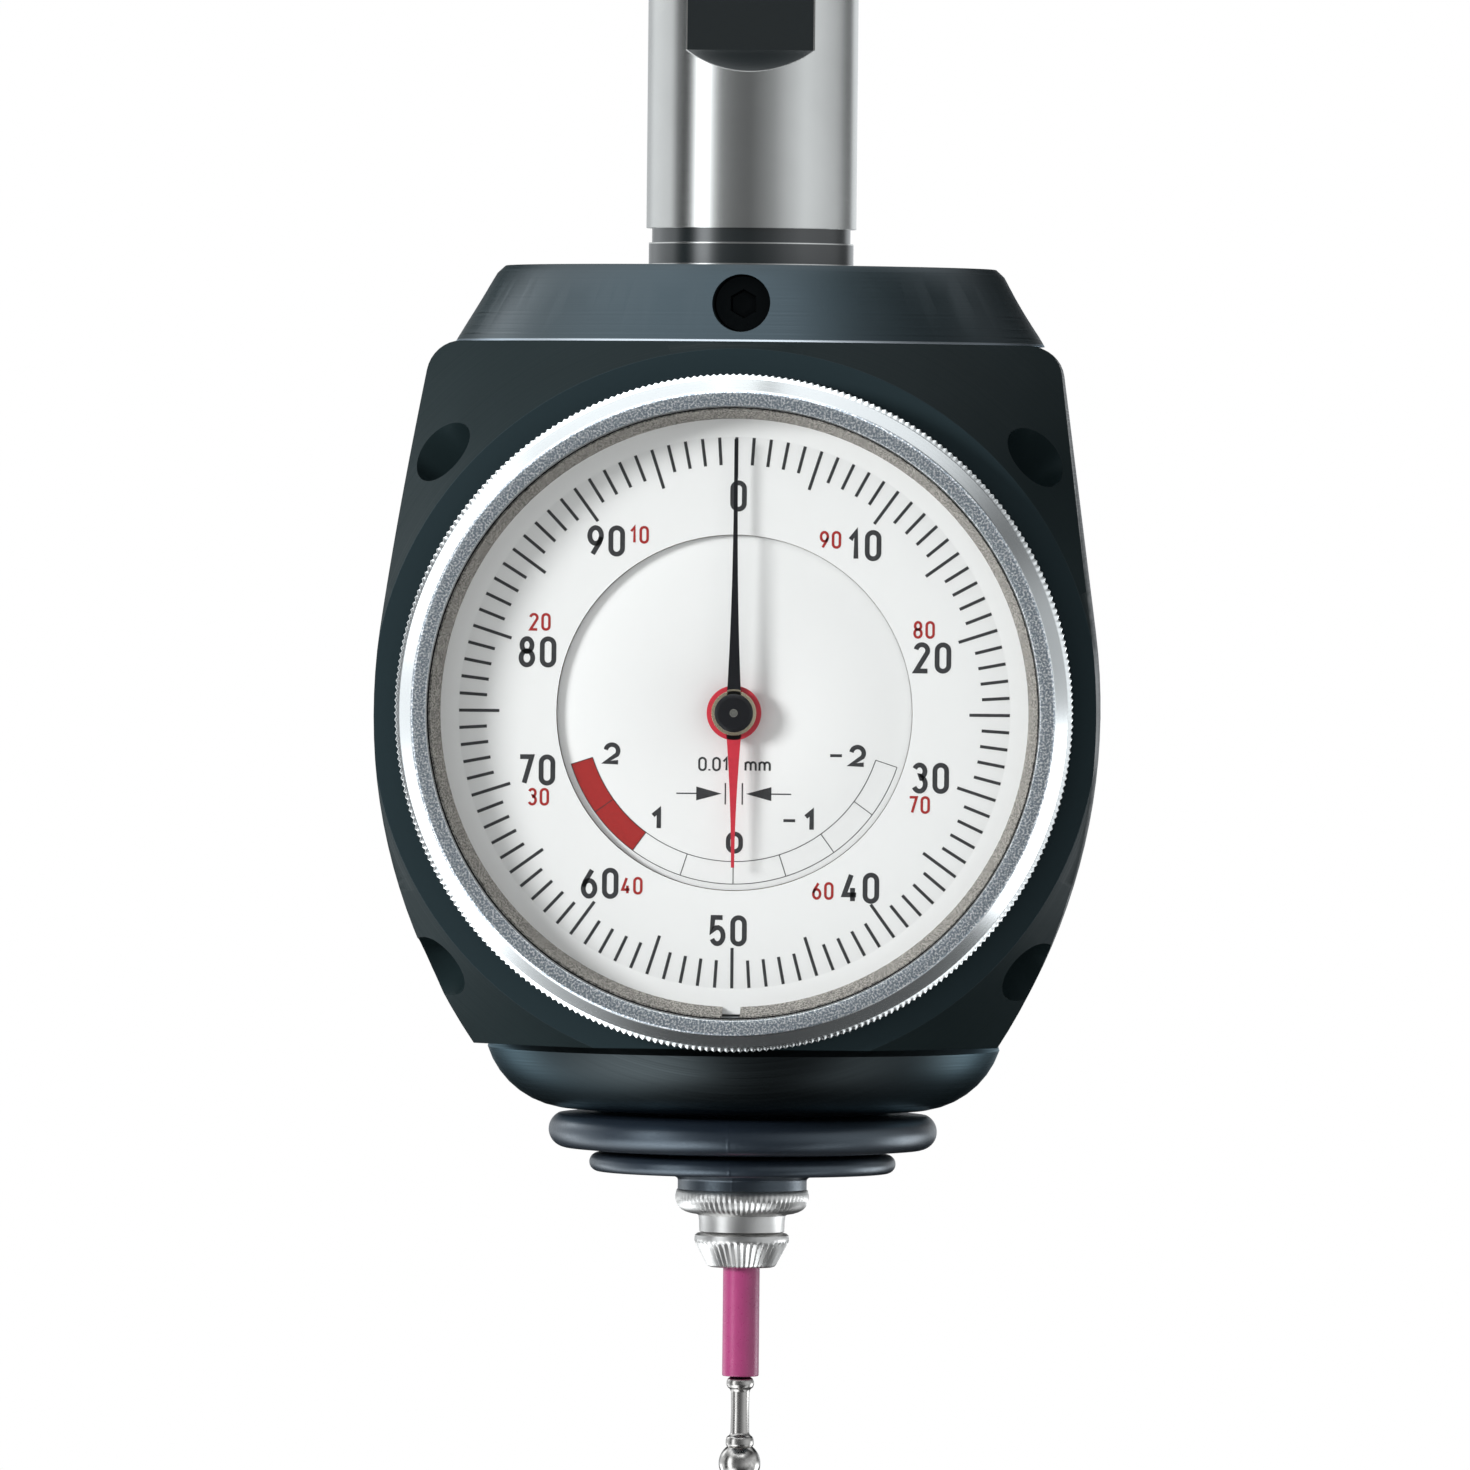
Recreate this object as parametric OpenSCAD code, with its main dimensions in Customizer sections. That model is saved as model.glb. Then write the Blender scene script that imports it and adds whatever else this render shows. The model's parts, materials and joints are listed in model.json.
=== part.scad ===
/* [Shank] */
// Diameter of the ground shank
shank_d = 20; // [16:0.5:25]
// Length of the ground shank
shank_len = 46; // [40:1:60]
// Length of the milled clamping flat along the shank
flat_len = 11; // [8:0.5:14]
// Height of the flat's lower edge above the shank's lower end
flat_z = 16.8; // [14:0.1:20]
// Depth of the clamping flat
flat_depth = 2.1; // [1:0.1:2.4]
// Depth of the black groove under the ground length
groove_in = 0.55; // [0.4:0.05:1]
// Height of the groove
groove_h = 1.4; // [0.8:0.1:2]
// How much smaller the polished neck's radius is than the shank's
neck_in = 0.25; // [0.1:0.05:0.6]
// Height of the neck down to the cap
neck_h = 2.3; // [1.5:0.1:4]
// How far the flange clamped inside the cap stands out of the shank
flange_out = 4; // [3.4:0.1:4.6]
// Thickness of the flange
flange_h = 6; // [5:0.5:6.5]
// Chamfer at the shank's upper end
shank_chamfer = 1; // [0.4:0.1:2]

/* [Cap] */
// Thickness of the cap over the flange
cap_roof = 1.3; // [1:0.1:2]
// Width of the cap's top face outside its screws
cap_rim = 1.9; // [1.4:0.1:2.6]
// How far the cap's lower edge reaches over the body's shoulder
cap_over = 1.3; // [0.6:0.1:1.6]
// Chamfer round the cap's top face
cap_chamfer = 0.7; // [0.3:0.1:1.2]
// Gap round the flange inside the cap, for centring the shank
centring_gap = 0.6; // [0.4:0.1:1]
// Diameter of the four holes over the centring screws
centring_hole_d = 5.4; // [5.2:0.1:6]
// Length of the centring screws
centring_screw_len = 6; // [4:0.5:8]
// Wall between the flange's pocket and the cap's own screws
cap_screw_wall = 1.2; // [0.8:0.1:1.6]
// Thread diameter of the cap's screws
cap_screw_d = 3; // [2.5:0.1:3.5]
// Wall between the cap's screws and the dial case
cap_screw_floor = 1.1; // [0.8:0.1:3]

/* [Body] */
// Wall of the body over the dial case
top_wall = 4.8; // [4:0.1:6]
// Wall of the body's broad part under the dial case
low_wall = 1.6; // [1.2:0.1:3]
// Wall of the body beside the dial case, where it is widest
side_wall = 3.9; // [3.2:0.1:5]
// Drop of the body's widest place under the dial's centre
belly_drop = 0.2; // [0:0.1:1]
// Radius of the body's lower sides
belly_r = 58; // [52:1:70]
// Lean of the body's upper sides in degrees
side_angle = 7.6; // [4:0.2:9]
// Radius of the shoulder under the cap
shoulder_r = 3.2; // [2:0.1:4]
// Width of the front face round the dial case
face_w = 4.1; // [3.6:0.1:4.6]
// Lean of the conical flank round the dial in degrees
flank_angle = 30; // [26:1:34]
// Height of the turned nose under the broad part
nose_h = 6.8; // [6.5:0.1:8]
// Diameter of the nose's flat underside
nose_flat_d = 32.8; // [31:0.2:34]
// Radius of the nose's rounded edge
nose_round = 8.4; // [8:0.1:8.8]
// Angle below level at which the nose's rounding starts
nose_from = 18; // [16:0.5:24]
// Clear gap between pieces that are fitted but don't run on each other
fit_gap = 0.05; // [0.03:0.01:0.1]
// Clear gap round a shaft or slide that runs in its bush
run_gap = 0.05; // [0.03:0.01:0.08]

/* [Dial seat] */
// Radius of the bore that takes the dial case
case_r = 29.8; // [29:0.1:30]
// Depth of the dial case's bore behind the front face
case_depth = 20.8; // [19:0.1:23]
// Wall between the dial case's bore and the seat cup's bore
case_web = 1.2; // [1:0.1:2]
// Wall of the dial case
case_wall = 1.5; // [1.2:0.1:2]
// Thickness of the dial case's floor
case_floor = 1.8; // [1.4:0.1:2.2]
// How far the dial case's rim stands out of the body
rim_out = 2; // [1.6:0.1:2.2]
// Angle of the four dial screws above and below the horizontal
dial_screw_angle = 41; // [38:1:45]
// Distance of the dial screws behind the front face
dial_screw_back = 5; // [4.4:0.1:6]
// Wall between the dial case and the dial screws' seats
dial_screw_wall = 2.7; // [2:0.1:3]
// Gap round the dial screws' heads
dial_screw_gap = 0.35; // [0.2:0.05:0.5]
// Diameter of the dial screws' heads
dial_screw_head_d = 5.8; // [5:0.1:6]
// Thread diameter of the dial screws
dial_screw_d = 3; // [2.5:0.1:3.5]

/* [Bezel] */
// Wall of the bezel outside the dial case
bezel_wall = 1.7; // [1.4:0.1:2.2]
// Gap between the bezel and the body's front face
bezel_gap = 0.3; // [0.2:0.05:0.5]
// Width of the knurled band
knurl_w = 2.6; // [2:0.1:3]
// Width of the bezel's polished slope
slope_w = 1.75; // [1.4:0.05:2.2]
// Width of the bezel's flat front
land_w = 1.5; // [1.2:0.05:1.9]
// Height of the bezel's front lip over the glass
lip_h = 1; // [0.8:0.1:1.4]
// Thickness of the seal in front of the glass
seal_h = 0.3; // [0.2:0.05:0.4]
// Thickness of the glass
glass_h = 1.2; // [1:0.1:1.4]
// How far the bezel's front reaches over the glass
glass_hold = 0.65; // [0.5:0.05:0.8]
// Gap between the hand's cap and the glass
glass_gap = 0.4; // [0.3:0.05:0.8]
// Diameter of the spring wire between the bezel and the case
wire_d = 0.8; // [0.6:0.05:0.9]
// Width of the ring that shows between the glass and the scale
sight_w = 0.85; // [0.6:0.05:1]
// Width of that ring's gap under the figure 50
sight_gap = 1.7; // [1:0.1:2.4]

/* [Dial] */
// How far the turning scale's face stands out of the body
scale_out = 1; // [0.8:0.05:1.2]
// Thickness of the turning scale
scale_h = 0.4; // [0.3:0.05:0.45]
// Width of the turning scale's ring
scale_w = 11.5; // [10:0.1:12]
// Gap between the fixed dial's edge and the turning scale
dial_gap = 0.2; // [0.15:0.05:0.3]
// How far the fixed dial lies behind the turning scale
dial_step = 0.4; // [0.3:0.05:0.4]
// Thickness of the fixed dial
dial_h = 0.4; // [0.3:0.05:0.5]
// Gap between the black hand's tip and the ring round the scale
black_hand_gap = 1.9; // [1.5:0.1:4]
// Gap between the red hand's tip and the fixed dial's edge
red_hand_tip_gap = 2; // [1.5:0.1:4]
// Thickness of the hands
hand_h = 0.15; // [0.1:0.05:0.2]
// Gap between the scale and the red hand
red_hand_gap = 0.75; // [0.7:0.05:0.8]
// Gap between the two hands
hands_gap = 0.35; // [0.3:0.05:0.4]

/* [Movement] */
// Module of the toothed wheels
gear_module = 0.2; // [0.18:0.01:0.2]
// Teeth of the centre pinion
centre_teeth = 10; // [10:1:10]
// Teeth of the large wheel
wheel_teeth = 100; // [100:1:100]
// Teeth of the pinion on the rack
rack_pinion_teeth = 16; // [16:1:16]
// Travel of the rack for one turn of its pinion
rack_lead = 10; // [9:0.5:10]
// Gap between the case's floor and the rear plate
rear_plate_gap = 1; // [0.6:0.1:1.2]
// Gap between the large wheel and the red hand's tube
tube_gap = 1.5; // [1.2:0.1:1.8]
// Gap between the tube's rear end and the two equal wheels
transfer_gap = 1.1; // [0.8:0.1:1.4]
// Gap between the two equal wheels and the front plate
front_plate_gap = 1.8; // [1.2:0.1:2]
// Thickness of the plates
plate_h = 1.2; // [1:0.1:1.4]
// Gap between the plates and the dial case's wall
plate_gap = 4.3; // [3:0.1:5]
// Radius of the thin arbors
arbor_r = 0.6; // [0.5:0.05:0.65]
// Outer radius of the red hand's tube
tube_r = 1.5; // [1.3:0.05:1.6]
// Distance from the rear plate's back to the rack
rack_gap = 3; // [2.8:0.1:3.4]
// Thickness of the rack
rack_w = 2; // [1.6:0.1:2.2]
// Width of the rack from its pitch line to its back
rack_bar_w = 2.25; // [2:0.05:2.6]
// Length of the rack
rack_len = 10; // [9:0.5:11]
// Thickness of the wheels
wheel_w = 0.6; // [0.5:0.05:0.7]
// Gap between the rack and the large wheel
wheel_gap = 1.4; // [1:0.1:1.6]
// Offset of the rack's arm to the right of the axis
arm_x = 0.6; // [0.4:0.1:0.8]
// Width of the rack's arm
arm_w = 2; // [1.6:0.1:2.2]
// Height of the rack's arm
arm_h = 3; // [2.6:0.1:3.2]
// Drop of the rack's arm under its pinion's axis
arm_drop = 0.5; // [0:0.1:0.8]
// Gap round the rack's arm in the openings that it moves in
window_gap = 0.5; // [0.3:0.05:0.6]

/* [Plunger] */
// Travel of the probe either way from zero
travel = 2; // [1.5:0.1:2]
// Radius of the plunger rod
rod_r = 2; // [1.8:0.1:2.2]
// Radius of the probe slide
slide_r = 6.45; // [6:0.05:6.6]
// Radius of the guide bush
guide_r = 9; // [8.6:0.1:9]
// Length of the guide bush
guide_len = 16; // [14:0.5:17]
// Length of the rod's upper bush
rod_bush_len = 8; // [6:0.5:9]
// Radius of the rod's upper bush
rod_bush_r = 4; // [3.6:0.1:4.2]
// Wire diameter of the return spring
spring_wire_d = 1; // [0.8:0.05:1.1]
// Mean radius of the return spring
spring_r = 5.4; // [5:0.1:5.6]
// Turns of the return spring
spring_turns = 6; // [4:0.5:7]
// Wall between the spring's chamber and the rack's arm at its lowest
chamber_web = 3.6; // [3:0.1:4.4]
// Length of the probe slide
slide_len = 21.4; // [20:0.1:22]
// Gap between the rack's arm at its highest and the rod's upper bush
rod_bush_gap = 0.4; // [0.3:0.1:1]

/* [Probe] */
// Drop from the body's underside up to the pivot ball's centre
pivot_rise = 7.8; // [7.5:0.1:8.2]
// Radius of the pivot ball
pivot_r = 2.5; // [2.2:0.1:2.8]
// Tilt of the probe either way in degrees
tilt = 3; // [2:0.5:3]
// Gap between the probe slide and the pivot ball's centre
ball_gap = 0.6; // [0.5:0.05:0.8]
// Wall of the lower seat round the pivot ball
socket_wall = 1.2; // [1:0.1:1.4]
// Radius of the seat cup in the nose
seat_r = 11; // [10.8:0.1:11.2]
// Wall of the seat cup
seat_wall = 1; // [0.8:0.1:1.2]
// Height of the seat cup's lower ring
seat_lip_h = 1.2; // [1:0.1:1.4]
// Least gap between the probe holder's flange, tilted both ways, and its seat
seat_gap = 0.25; // [0.2:0.05:0.6]
// Gap between the probe holder's flange and the seat cup's wall
lever_flange_gap = 1; // [0.8:0.1:1.4]
// Thickness of the probe holder's flange
lever_flange_h = 2; // [1.6:0.1:2.2]
// Drop of the flange's upper face under the pivot
lever_flange_drop = 3.4; // [3.2:0.1:3.6]
// Wall of the ring that clamps the boot
boot_ring_wall = 1.5; // [1.2:0.1:1.8]
// Height of the boot's lip inside the nose
boot_lip_h = 3.4; // [3:0.1:3.8]
// Radius of the probe holder's stem
stem_r = 3.6; // [3.2:0.1:3.7]
// How far the boot's large fold stands out of its lip
fold_out = 5; // [4.4:0.1:5.6]
// Height of the boot's large fold
fold_h = 4.1; // [3.8:0.1:4.4]
// How far the boot's small fold lies inside the large one
fold_step = 3.9; // [3.4:0.1:4.6]
// Height of the boot's small fold
small_fold_h = 2.1; // [2:0.1:2.4]
// Radius of the boot's neck
boot_neck_r = 6.15; // [5.8:0.05:6.4]
// Height of the boot's neck
boot_neck_h = 2.1; // [2:0.1:2.6]
// Thickness of the boot's rubber
boot_wall = 0.9; // [0.7:0.05:1]
// Radius of the knurled collar
collar_r = 6.2; // [6:0.1:6.6]
// Height of the knurled collar
collar_h = 2; // [1.6:0.1:2.4]
// Ribs of the knurled collar
collar_ribs = 56; // [40:1:72]
// How much larger the plain neck under the collar is than the stem
nut_neck_out = 0.25; // [0.2:0.05:0.4]
// Height of the plain neck under the collar
nut_neck_h = 1.5; // [1.2:0.1:2]
// Large radius of the knurled cone nut
nut_r = 4.5; // [4.3:0.1:4.8]
// Small radius of the knurled cone nut
nut_end_r = 3.25; // [3:0.05:3.4]
// Height of the knurled cone nut
nut_h = 3.3; // [3:0.1:4]
// Ribs of the knurled cone nut
nut_ribs = 36; // [28:1:44]

/* [Stylus] */
// Diameter of the coloured breaking sleeve
sleeve_d = 3.5; // [3:0.1:4]
// Visible length of the breaking sleeve
sleeve_len = 10.4; // [9:0.1:12]
// Diameter of the ball tip
ball_d = 4; // [3:0.1:5]
// Distance from the sleeve's end to the ball's centre
ball_reach = 8.3; // [7.5:0.1:9]
// Radius of the collars at the ends of the stylus neck
tip_collar_r = 1.25; // [1.1:0.05:1.4]
// Radius of the stylus neck
tip_neck_r = 0.9; // [0.7:0.05:1]

/* [Hidden] */
$fn = 96;

// Overrun of every cut past the face it opens
over = 0.5;

// Turn of the shank's round lengths about their own axis, which only places their seam and facets
seam_turn = -22.5;

// Diameters of the shank's lower end and its flange
groove_d = shank_d - 2 * groove_in;
neck_d = shank_d - 2 * neck_in;
flange_d = shank_d + 2 * flange_out;

// Heights along the spindle, counted from the ground shank's lower end
cap_h = flange_h + cap_roof;
neck_z = -groove_h;
cap_z = neck_z - neck_h;
body_z = cap_z - cap_h;
flange_z = body_z + flange_h;
dial_z = body_z - top_wall - case_r;
belly_z = dial_z - belly_drop;
broad_z = dial_z - case_r - low_wall;
nose_z = broad_z - nose_h;
centring_z = (cap_z + body_z) / 2;
pivot_z = nose_z + pivot_rise;

// Outline of the body's right side as seen from the front
belly_half_w = case_r + side_wall;
side_z = belly_z + belly_r * sin(side_angle);
side_half_w = belly_half_w - belly_r * (1 - cos(side_angle));
shoulder_z = body_z - shoulder_r;
shoulder_touch_z = shoulder_z + shoulder_r * sin(side_angle);
shoulder_half_w = side_half_w - (shoulder_touch_z - side_z) * tan(side_angle);
shoulder_x = shoulder_half_w - shoulder_r * cos(side_angle);
belly_end = asin((belly_z - broad_z) / belly_r);
broad_half_w = belly_half_w - belly_r * (1 - cos(belly_end));
shoulder_steps = 8;
belly_steps = 20;
nose_steps = 8;

// Cap, its pocket and its screws
centring_screw_d = centring_hole_d - 2 * fit_gap;
pocket_r = flange_d / 2 + centring_gap;
cap_screw_circle = 2 * (pocket_r + cap_screw_wall + cap_screw_d);
cap_top_d = cap_screw_circle + 2 * cap_screw_d + 2 * cap_rim;
cap_base_d = 2 * (shoulder_x + cap_over);
cap_screw_turn = 45;
cap_screw_inner_x = cap_screw_circle / 2 * cos(cap_screw_turn) - cap_screw_d;
case_top_z = dial_z + sqrt(case_r * case_r - cap_screw_inner_x * cap_screw_inner_x);
cap_screw_len = cap_z - cap_screw_d - case_top_z - cap_screw_floor;

// Depths in front of the spindle axis, and radii about the dial's axis
case_back = seat_r + case_web;
front_depth = case_back + case_depth;
face_r = case_r + face_w;
bezel_back = front_depth + bezel_gap;
rim_front = front_depth + rim_out;
rim_inner_r = case_r - case_wall;
skirt_r = case_r + 2 * run_gap;
flange_back = rim_front + bezel_gap;
scale_depth = front_depth + scale_out;
red_hand_depth = scale_depth + red_hand_gap;
black_hand_depth = red_hand_depth + hand_h + hands_gap;
glass_back = black_hand_depth + 3 * hand_h + glass_gap;
glass_front = glass_back + glass_h;
seal_front = glass_front + seal_h;
bezel_front = seal_front + lip_h;
bezel_r = case_r + bezel_wall;
bezel_flat_r = bezel_r - slope_w;
bezel_inner_r = bezel_flat_r - land_w;
glass_r = bezel_inner_r + glass_hold;
recess_r = glass_r + fit_gap;
sight_r = bezel_inner_r - sight_w;
black_hand_len = sight_r - black_hand_gap;
fixed_dial_depth = scale_depth - dial_step;
scale_outer_r = rim_inner_r - dial_gap;
scale_inner_r = scale_outer_r - scale_w;
fixed_dial_r = scale_inner_r - dial_gap;
wire_r = wire_d / 2;
wire_depth = (front_depth + bezel_gap + rim_front) / 2;
dial_screw_head_h = dial_screw_d * 2 / 3;
dial_screw_sink_d = dial_screw_head_d + 2 * dial_screw_gap;
dial_screw_depth = front_depth - dial_screw_back;
dial_screw_seat = case_r + dial_screw_wall;

// Depths and radii of the movement
plate_r = rim_inner_r - plate_gap;
rear_plate_depth = case_back + case_floor + rear_plate_gap;
rack_front = rear_plate_depth + rack_gap + rack_w;
large_wheel_depth = rack_front + wheel_gap;
tube_back = large_wheel_depth + wheel_w + tube_gap;
transfer_depth = tube_back + transfer_gap;
front_plate_depth = transfer_depth + wheel_w + front_plate_gap;

// Wheels of the movement
pitch_share = 0.5;
wheel_pitch_r = wheel_teeth * gear_module * pitch_share;
centre_pitch_r = centre_teeth * gear_module * pitch_share;
axle_span = wheel_pitch_r + centre_pitch_r;
transfer_teeth = round(axle_span / gear_module);
rack_pitch = rack_lead / rack_pinion_teeth;
rack_pinion_module = rack_pitch / PI;
rack_pinion_r = rack_pinion_module * rack_pinion_teeth * pitch_share;
rack_axle_x = -rack_pinion_r;
rack_axle_y = sqrt(axle_span * axle_span - rack_axle_x * rack_axle_x);
rack_axle_z = dial_z + rack_axle_y;
axle_angle = atan2(rack_axle_y, rack_axle_x);
pressure_angle = 20;
tooth_share = 0.86;
addendum_share = 0.8;
dedendum_share = 1.1;

// Heights of the plunger and its springs
slide_bottom = pivot_z + ball_gap;
slide_top = slide_bottom + slide_len;
guide_top = slide_top + travel;
guide_bottom = guide_top - guide_len;
spring_wire_r = spring_wire_d / 2;
arm_z = rack_axle_z - arm_drop;
chamber_z = arm_z - arm_h / 2 - travel - chamber_web;
spring_len = chamber_z - slide_top;
rod_bush_bottom = arm_z + arm_h / 2 + travel + rod_bush_gap;
rod_bush_top = rod_bush_bottom + rod_bush_len;
rod_top = rod_bush_top - travel / 2;
upper_bore_top = rod_top + 2 * travel;

// Heights of the probe under the pivot
boot_z = nose_z;
small_fold_z = boot_z - fold_h;
boot_neck_z = small_fold_z - small_fold_h;
collar_z = boot_neck_z - boot_neck_h;
nut_neck_z = collar_z - collar_h;
nut_z = nut_neck_z - nut_neck_h;
sleeve_z = nut_z - nut_h;
tip_z = sleeve_z - sleeve_len;
ball_z = tip_z - ball_reach;
lever_flange_z = pivot_z - lever_flange_drop;
lever_flange_r = seat_r - seat_wall - lever_flange_gap;
tilt_axes = 2;
seat_clear = lever_flange_r * sin(tilt) * sqrt(tilt_axes) + seat_gap;
seat_lip_z = lever_flange_z - lever_flange_h - travel - seat_clear;
seat_bottom = seat_lip_z - seat_lip_h;
seat_top = guide_bottom;
boot_mouth_r = seat_r + boot_ring_wall + boot_wall + 2 * fit_gap;
fold_r = boot_mouth_r + fold_out;
small_fold_r = fold_r - fold_step;
nut_neck_r = stem_r + nut_neck_out;
holder_bottom = collar_z - collar_h;

// Points along an arc
function arc(centre, radius, from, to, steps) =
    [for (i = [0:steps]) centre + radius * [cos(from + (to - from) * i / steps),
                                            sin(from + (to - from) * i / steps)]];

// Right side of the body's outline, from the top down to the broad part's end
body_side = concat(
    [[0, body_z]],
    arc([shoulder_x, shoulder_z], shoulder_r, 90, side_angle, shoulder_steps),
    arc([belly_half_w - belly_r, belly_z], belly_r, side_angle, -belly_end, belly_steps)
);

// Turns a child so that its +Z points out of the dial and its origin is the dial's centre
module on_dial() {
    translate([0, 0, dial_z]) rotate([90, 0, 0]) children();
}

// A ring or disc about +Z between two heights
module ring(outer, inner, low, high) {
    difference() {
        translate([0, 0, low]) cylinder(r = outer, h = high - low);
        if (inner > 0)
            translate([0, 0, low - over]) cylinder(r = inner, h = high - low + 2 * over);
    }
}

// Repeats a child four times about +Z
module four(start) {
    for (k = [0:3]) rotate([0, 0, start + 90 * k]) children();
}

// Repeats a child at the four places of the dial screws, with +X pointing outwards
module at_dial_screws() {
    for (side = [0, 180], lean = [-1, 1])
        rotate([0, 0, side + lean * dial_screw_angle]) children();
}

// Angle between a tooth's middle and its flank at one radius
function flank_half(r, base, half_at_pitch, pitch) =
    half_at_pitch + involute(base / pitch) - involute(base / r);
function involute(cosine) = tan(acos(cosine)) * 180 / PI - acos(cosine);

// Outline of a toothed wheel with one tooth's middle at the angle called phase
function wheel_outline(teeth, module_size, phase, steps) =
    let (
        pitch = teeth * module_size * pitch_share,
        base = pitch * cos(pressure_angle),
        tip = pitch + addendum_share * module_size,
        root = pitch - dedendum_share * module_size,
        low = max(base * 1.001, root),
        half = 90 / teeth * tooth_share
    )
    [for (k = [0:teeth - 1]) let (middle = phase + 360 * k / teeth)
        each concat(
            [root * [cos(middle - 1.15 * flank_half(low, base, half, pitch)),
                     sin(middle - 1.15 * flank_half(low, base, half, pitch))]],
            [for (i = [0:steps]) let (r = low + (tip - low) * i / steps,
                                      a = middle - flank_half(r, base, half, pitch))
                r * [cos(a), sin(a)]],
            [for (i = [0:steps]) let (r = tip - (tip - low) * i / steps,
                                      a = middle + flank_half(r, base, half, pitch))
                r * [cos(a), sin(a)]],
            [root * [cos(middle + 1.15 * flank_half(low, base, half, pitch)),
                     sin(middle + 1.15 * flank_half(low, base, half, pitch))]]
        )];

// A toothed wheel with a round bore
module wheel(teeth, module_size, phase, bore, low, high, steps) {
    difference() {
        translate([0, 0, low]) linear_extrude(high - low)
            polygon(wheel_outline(teeth, module_size, phase, steps));
        translate([0, 0, low - over]) cylinder(r = bore, h = high - low + 2 * over);
    }
}

// Tube of small section along a list of places, each with the direction of its side
module swept(path, sides, radius, flat) {
    count = len(path);
    points = [for (p = path, j = [0:sides - 1])
        let (a = 360 * (j + 0.5) / sides)
        p[0] + radius * cos(a) * p[1] + radius * flat * sin(a) * [0, 0, 1]];
    faces = concat(
        [for (i = [0:count - 2], j = [0:sides - 1]) let (n = (j + 1) % sides)
            [i * sides + j, i * sides + n, (i + 1) * sides + n]],
        [for (i = [0:count - 2], j = [0:sides - 1]) let (n = (j + 1) % sides)
            [i * sides + j, (i + 1) * sides + n, (i + 1) * sides + j]],
        [for (j = [1:sides - 2]) [0, j + 1, j]],
        [for (j = [1:sides - 2]) [(count - 1) * sides, (count - 1) * sides + j, (count - 1) * sides + j + 1]]
    );
    polyhedron(points, faces);
}

// A disc edge of fine ribs
module ribbed(outer, depth, ribs, height, taper) {
    linear_extrude(height, scale = taper)
        polygon([for (k = [0:2 * ribs - 1]) let (a = 180 * k / ribs)
            (k % 2 == 0 ? outer : outer - depth) * [cos(a), sin(a)]]);
}

// Ground shank with its clamping flat, neck and clamped flange
module shank() color([0.78, 0.78, 0.8]) {
    flat_cut = shank_d / 2 - flat_depth;
    run_out = flat_depth + over;
    difference() {
        rotate([0, 0, seam_turn]) union() {
            cylinder(d = shank_d, h = shank_len - shank_chamfer);
            translate([0, 0, shank_len - shank_chamfer])
                cylinder(d1 = shank_d, d2 = shank_d - 2 * shank_chamfer, h = shank_chamfer);
            translate([0, 0, neck_z]) cylinder(d = groove_d, h = groove_h);
            translate([0, 0, flange_z]) cylinder(d = neck_d, h = neck_z - flange_z);
            translate([0, 0, body_z]) cylinder(d = flange_d, h = flange_h);
        }
        translate([-shank_d / 2, 0, flat_z]) rotate([90, 0, 90]) linear_extrude(shank_d) polygon([
            [-flat_cut, 0], [-flat_cut, flat_len],
            [-flat_cut - run_out, flat_len + run_out], [-flat_cut - run_out, -run_out]
        ]);
    }
}

// Conical cap with the flange's pocket and the holes of both sets of screws
module top_cap() color([0.12, 0.15, 0.16]) {
    slope = (cap_base_d - cap_top_d) / 2 / cap_h;
    difference() {
        rotate_extrude() polygon([
            [0, body_z], [cap_base_d / 2, body_z],
            [cap_top_d / 2 + slope * cap_chamfer, cap_z - cap_chamfer],
            [cap_top_d / 2 - cap_chamfer / 2, cap_z], [0, cap_z]
        ]);
        translate([0, 0, body_z - over]) cylinder(r = pocket_r, h = flange_h + over);
        translate([0, 0, flange_z - over])
            cylinder(r = neck_d / 2 + 2 * fit_gap, h = cap_z - flange_z + 2 * over);
        four(0) translate([0, 0, centring_z]) rotate([0, 90, 0]) cylinder(d = centring_hole_d, h = cap_base_d);
        four(cap_screw_turn) translate([cap_screw_circle / 2, 0, 0]) {
            translate([0, 0, body_z - over]) cylinder(r = cap_screw_d / 2 + fit_gap, h = cap_h + 2 * over);
            translate([0, 0, cap_z - cap_screw_d]) cylinder(r = cap_screw_d, h = cap_screw_d + over);
        }
    }
}

// One socket head screw with its head's underside at the origin and its thread along -Z
module head_screw(size, length) {
    difference() {
        union() {
            translate([0, 0, -length]) cylinder(d = size, h = length + size / 4);
            cylinder(d = 1.8 * size, h = 0.9 * size);
        }
        translate([0, 0, 0.35 * size]) cylinder(d = 0.9 * size, h = size, $fn = 6);
    }
}

module cap_screws() color([0.2, 0.2, 0.22]) {
    four(cap_screw_turn) translate([cap_screw_circle / 2, 0, cap_z - cap_screw_d]) head_screw(cap_screw_d, cap_screw_len);
}

// Set screws that bear on the shank's flange
module centring_screws() color([0.15, 0.15, 0.16]) {
    four(0) translate([flange_d / 2, 0, centring_z]) rotate([0, 90, 0]) difference() {
        cylinder(d = centring_screw_d, h = centring_screw_len);
        translate([0, 0, centring_screw_len / 2])
            cylinder(d = centring_screw_d / 2, h = centring_screw_len, $fn = 6);
    }
}

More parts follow.
